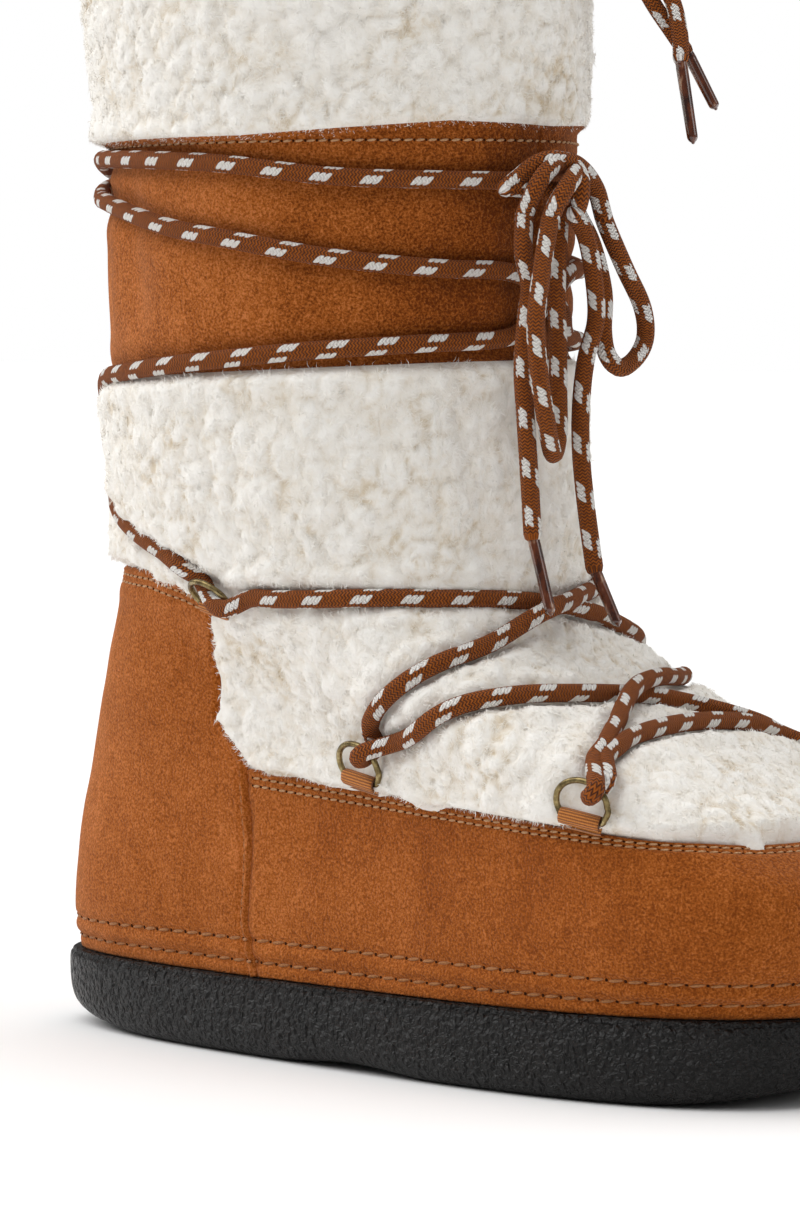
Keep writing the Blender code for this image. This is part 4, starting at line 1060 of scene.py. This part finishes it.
for (side, k), (base, along, up, out) in RING.items():
    word = "lat" if side == 1 else "med"
    a = np.radians(-32 + 244 * np.arange(33) / 32)
    wide = RING_HALF + 0.5
    bow = np.stack([wide * np.cos(a) * np.where(a > 0, 1.0, 1.04), 4.4 + (RING_TALL - 4.4) * np.sin(a)], -1)
    flat = np.vstack([[(-wide + 1.5, 0.0), (0.0, 0.0), (wide - 1.5, 0.0)], bow, [(-wide + 1.5, 0.0)]])
    loop = smooth_path(base + flat[:, :1] * along + flat[:, 1:] * up, 0.7)
    ring = tube(f"ring_wire_{word}_{k}", loop, RING_WIRE_R - 0.17, BRASS, sides=12, cap=False)
    finish_piece(ring)
    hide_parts(f"d_ring_{word}_{k}")

    _, _, n_out = frame_at(side * RINGS[k - 1][0], RINGS[k - 1][1])
    t_up = unit(up - n_out * np.dot(up, n_out))
    t_along = np.cross(n_out, t_up)
    ang = np.radians(np.linspace(-20, 214, 28))
    outer = np.stack([1.95 * np.cos(ang), 1.95 * np.sin(ang)], -1)
    tail = np.array([(-1.75, -2.0), (-1.9, -2.8), (-1.8, -3.6)])
    front = np.array([(1.7, -1.3), (1.1, -2.0), (0.3, -2.6)])[::-1]
    prof = smooth_path(np.vstack([front, outer, tail]), 0.35)
    inner = prof * 1.0
    mid = np.array((0.0, 0.0))
    toward = unit(np.where(np.abs(prof) > 0, mid - prof, 0))
    inner = prof + toward * 0.8
    ring_prof = np.vstack([prof, inner[::-1]])
    run = np.concatenate([[0], np.cumsum(np.linalg.norm(np.diff(ring_prof, axis=0), axis=1))])
    steps = np.linspace(-6.1, 6.1, 15)
    pinch = 1 - 0.05 * (np.abs(steps) / 6.1) ** 6
    co = (base + (ring_prof[None, :, :1] * pinch[:, None, None]) * n_out + (ring_prof[None, :, 1:] * pinch[:, None, None]) * t_up
          + steps[:, None, None] * t_along)
    m = len(ring_prof)
    q = grid_quads(len(steps), m, closed_cols=True)
    half = len(prof)
    caps = []
    for row in (0, len(steps) - 1):
        for i in range(half - 1):
            f = (row * m + i, row * m + i + 1, row * m + m - 2 - i, row * m + m - 1 - i)
            caps.append(f if row == 0 else f[::-1])
    tab = new_mesh(f"tab_roll_{word}_{k}", place(co.reshape(-1, 3)), np.concatenate([q[:, ::-1], np.array(caps)]), None, WEBBING)
    add_uv(tab, "cord", np.stack(np.broadcast_arrays(run[None, :], steps[:, None]), -1).reshape(-1, 2))
    finish_piece(tab)
    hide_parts(f"ring_tab_{word}_{k}")

# ------------------------------------------------------------------- lace and bow

lace = tube("lace_run", LACE_PATH, LACE_R, BRAID)
finish_piece(lace)
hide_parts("lace")

LACE_END_A = ((177, -24.5, 241.5), (178, -26.5, 231), (179, -24.8, 222), (179, -26.5, 212),
              (179, -28, 199), (180, -28, 185), (180, -26, 167), (181, -26, 153))
LOOP_A = ((178, -9, 242), (178, -10.5, 220), (178, -9.8, 208), (179, -11, 192), (180.5, -13, 181),
          (183, -19, 175), (186, -26.5, 184), (187, -31.5, 198), (187, -33, 212), (186, -28.5, 227),
          (184, -22, 240.5))
LACE_END_B = ((184.5, -11.5, 242), (185, -6.2, 235.5), (185, -2.2, 223.5), (184, 0.2, 212),
              (183, -3.2, 201), (183, -5.6, 188), (183, -5.5, 175), (184, -4.4, 160), (187, -4.6, 143))
LOOP_B = ((179, -1.5, 241.5), (180, 4.2, 233), (181, 8.2, 220), (182, 6.6, 209), (183, 7.5, 202),
          (184, 12.5, 198.5), (185, 19, 201.5), (185, 23.5, 207.5), (185, 21.7, 216), (184, 14.2, 227),
          (183, 6.5, 239), (182.8, 4.2, 244))
AGLET_A = ((181.4, -26, 151.2), (188, -27, 131))
AGLET_B = ((187.6, -4.6, 141.4), (195, -4.4, 127))
DRAW_END_A = ((178, 26, 323.5), (184, 28.5, 312), (190, 29, 302.5), (194, 27, 293), (196, 24.6, 286))
DRAW_END_B = ((172.2, 29.5, 323), (177.6, 28.2, 312), (184, 28, 302), (188, 31.8, 294), (190.6, 34.6, 288.6))
DRAW_AGLET_A = ((196.4, 24.2, 284.4), (202, 22, 262))
DRAW_AGLET_B = ((191.6, 35.2, 287.2), (199, 38, 272))


def aglet(name, ends, node):
    """A plastic tip: slight flare where it grips the cord, one faint crimp ring and a rounded end."""
    a, b = np.array(ends[0], float), np.array(ends[1], float)
    s = np.concatenate([np.linspace(0, 0.1, 6), np.linspace(0.13, 0.9, 22), np.linspace(0.92, 1.0, 8)])
    r = AGLET_R * (1.0 - 0.12 * s)
    r[s < 0.06] *= 0.97
    r *= 1 - 0.02 * np.exp(-((s - 0.14) / 0.012) ** 2)
    r[-8:] *= np.sqrt(np.clip(1 - np.linspace(0, 0.93, 8) ** 2, 0.04, 1))
    path = a[None] + (b - a)[None] * s[:, None]
    ob = tube(name, path, r, TIP, sides=16)
    finish_piece(ob)
    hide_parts(node)
    return ob


def free_cord(name, pts, radius, node):
    path = smooth_path(pts, 1.5)
    ob = tube(name, path, radius, BRAID)
    finish_piece(ob)
    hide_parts(node)
    return ob


tip_a = aglet("lace_tip_a", AGLET_A, "aglet_a")
tip_b = aglet("lace_tip_b", AGLET_B, "aglet_b")
draw_tip_a = aglet("drawcord_tip_a", DRAW_AGLET_A, "drawcord_aglet_a")
draw_tip_b = aglet("drawcord_tip_b", DRAW_AGLET_B, "drawcord_aglet_b")
free_cord("bow_end_a", LACE_END_A, LACE_R, "lace_end_a")
free_cord("bow_end_b", LACE_END_B, LACE_R, "lace_end_b")
free_cord("bow_loop_left", LOOP_A, LACE_R, "bow_loop_a")
free_cord("bow_loop_right", LOOP_B, LACE_R, "bow_loop_b")
free_cord("drawcord_left", DRAW_END_A, DRAW_R, "drawcord_end_a")
free_cord("drawcord_right", DRAW_END_B, DRAW_R, "drawcord_end_b")


def wound(name, turns, radius, node):
    """A tied knot: short runs of cord wound round each other, in one mesh."""
    pieces = [tube(f"{name}_{k}", smooth_path(t, 1.2), radius, BRAID, start=37.0 * k) for k, t in enumerate(turns)]
    first = pieces[0]
    with bpy.context.temp_override(active_object=first, object=first, selected_editable_objects=pieces, selected_objects=pieces):
        bpy.ops.object.join()
    first.name = name
    finish_piece(first)
    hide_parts(node)
    return first


wound("bow_knot_turns", (
    ((171, -25, 248.8), (173.6, -22.3, 251.8), (176.6, -20.2, 254.8), (179.6, -17.4, 256.6), (182, -13.2, 256.4), (183, -8, 255.4),
     (182.4, -1.9, 252.6), (182.6, 2.3, 248.4), (182.8, 4.2, 244), (183, 5.3, 241)),
    ((177, -9, 256), (181, -9.2, 256.5), (186, -10.7, 252), (186.5, -11, 246.5), (182.5, -8.5, 242), (178, -8, 241.5)),
    ((179, -2.1, 251.6), (184, -9, 253.6), (187, -17, 250.3), (186.4, -21.4, 245.4), (184, -22, 240.5)),
    ((181, -13, 255.3), (182, -20, 253.8), (180.8, -24.2, 249), (177, -24.5, 241.5)),
    ((172, -24, 249), (176, -19, 248.5), (180, -12, 248), (179, -3, 247.5), (175.5, 4, 249), (171, 9, 250)),
), LACE_R, "bow_knot")
wound("drawcord_knot_turns", (
    ((169.5, 20, 331), (173.5, 22.5, 333), (177, 26.5, 332), (176.5, 30, 328.5), (172.5, 30.5, 326), (172.2, 29.6, 323)),
    ((169.5, 32, 331), (173, 30, 334), (176, 26.5, 334), (178.2, 23.8, 330.5), (178.6, 24.8, 326.5), (178, 26, 323.5)),
    ((171, 25, 327), (175, 24, 327.5), (178.5, 26.5, 329), (177.5, 29.5, 331), (173.5, 29, 332)),
), DRAW_R, "drawcord_knot")

# ------------------------------------------------------------------ floor and light

AMBIENT = 0.16
floor_shade = Shade("pale_floor", Roughness=1.0, Specular_IOR_Level=0.0)
floor_tone = floor_shade.noise(floor_shade.where(), 400.0, 2.0, 0.5)
floor_mat = floor_shade.set(Base_Color=floor_shade.ramp(floor_tone, ((0.3, (0.925, 0.92, 0.915, 1)), (0.7, (0.94, 0.935, 0.93, 1)))))
floor = new_mesh("studio_floor", np.array(((-9, -9, 0), (9, -9, 0), (9, 9, 0), (-9, 9, 0)), float), np.array(((0, 1, 2, 3),)), None, floor_mat)

world = bpy.data.worlds.new("studio_world")
bpy.context.scene.world = world
world.use_nodes = True
tree = world.node_tree
back = next(n for n in tree.nodes if n.type == "BACKGROUND")
back.inputs["Color"].default_value = (1.0, 0.995, 0.985, 1.0)
back.inputs["Strength"].default_value = AMBIENT
sweep_white = tree.nodes.new("ShaderNodeBackground")
sweep_white.inputs["Color"].default_value = (1.0, 1.0, 1.0, 1.0)
sweep_white.inputs["Strength"].default_value = 1.0
seen = tree.nodes.new("ShaderNodeLightPath")
choose = tree.nodes.new("ShaderNodeMixShader")
tree.links.new(seen.outputs["Is Camera Ray"], choose.inputs["Fac"])
tree.links.new(back.outputs[0], choose.inputs[1])
tree.links.new(sweep_white.outputs[0], choose.inputs[2])
out = next(n for n in tree.nodes if n.type == "OUTPUT_WORLD")
tree.links.new(choose.outputs[0], out.inputs["Surface"])


def aimed(name, data, where, aim=(0.0, 0.0, 0.14)):
    ob = bpy.data.objects.new(name, data)
    bpy.context.scene.collection.objects.link(ob)
    ob.location = where
    ob.rotation_euler = (Vector(aim) - Vector(where)).to_track_quat("-Z", "Y").to_euler()
    return ob


def broad(name, where, strength, degrees):
    """A very large far softbox: even light over the whole floor, soft shadows."""
    data = bpy.data.lights.new(name, "SUN")
    data.energy = strength
    data.angle = math.radians(degrees)
    return aimed(name, data, where)


broad("left", (-1.8, -0.75, 1.7), 1.47, 50)
broad("front", (-0.3, -1.6, 2.2), 0.82, 55)
broad("top", (-0.1, 0.45, 3.0), 1.62, 70)
broad("right", (1.5, 0.35, 0.9), 0.32, 25)
bpy.context.scene.view_settings.view_transform = "Standard"
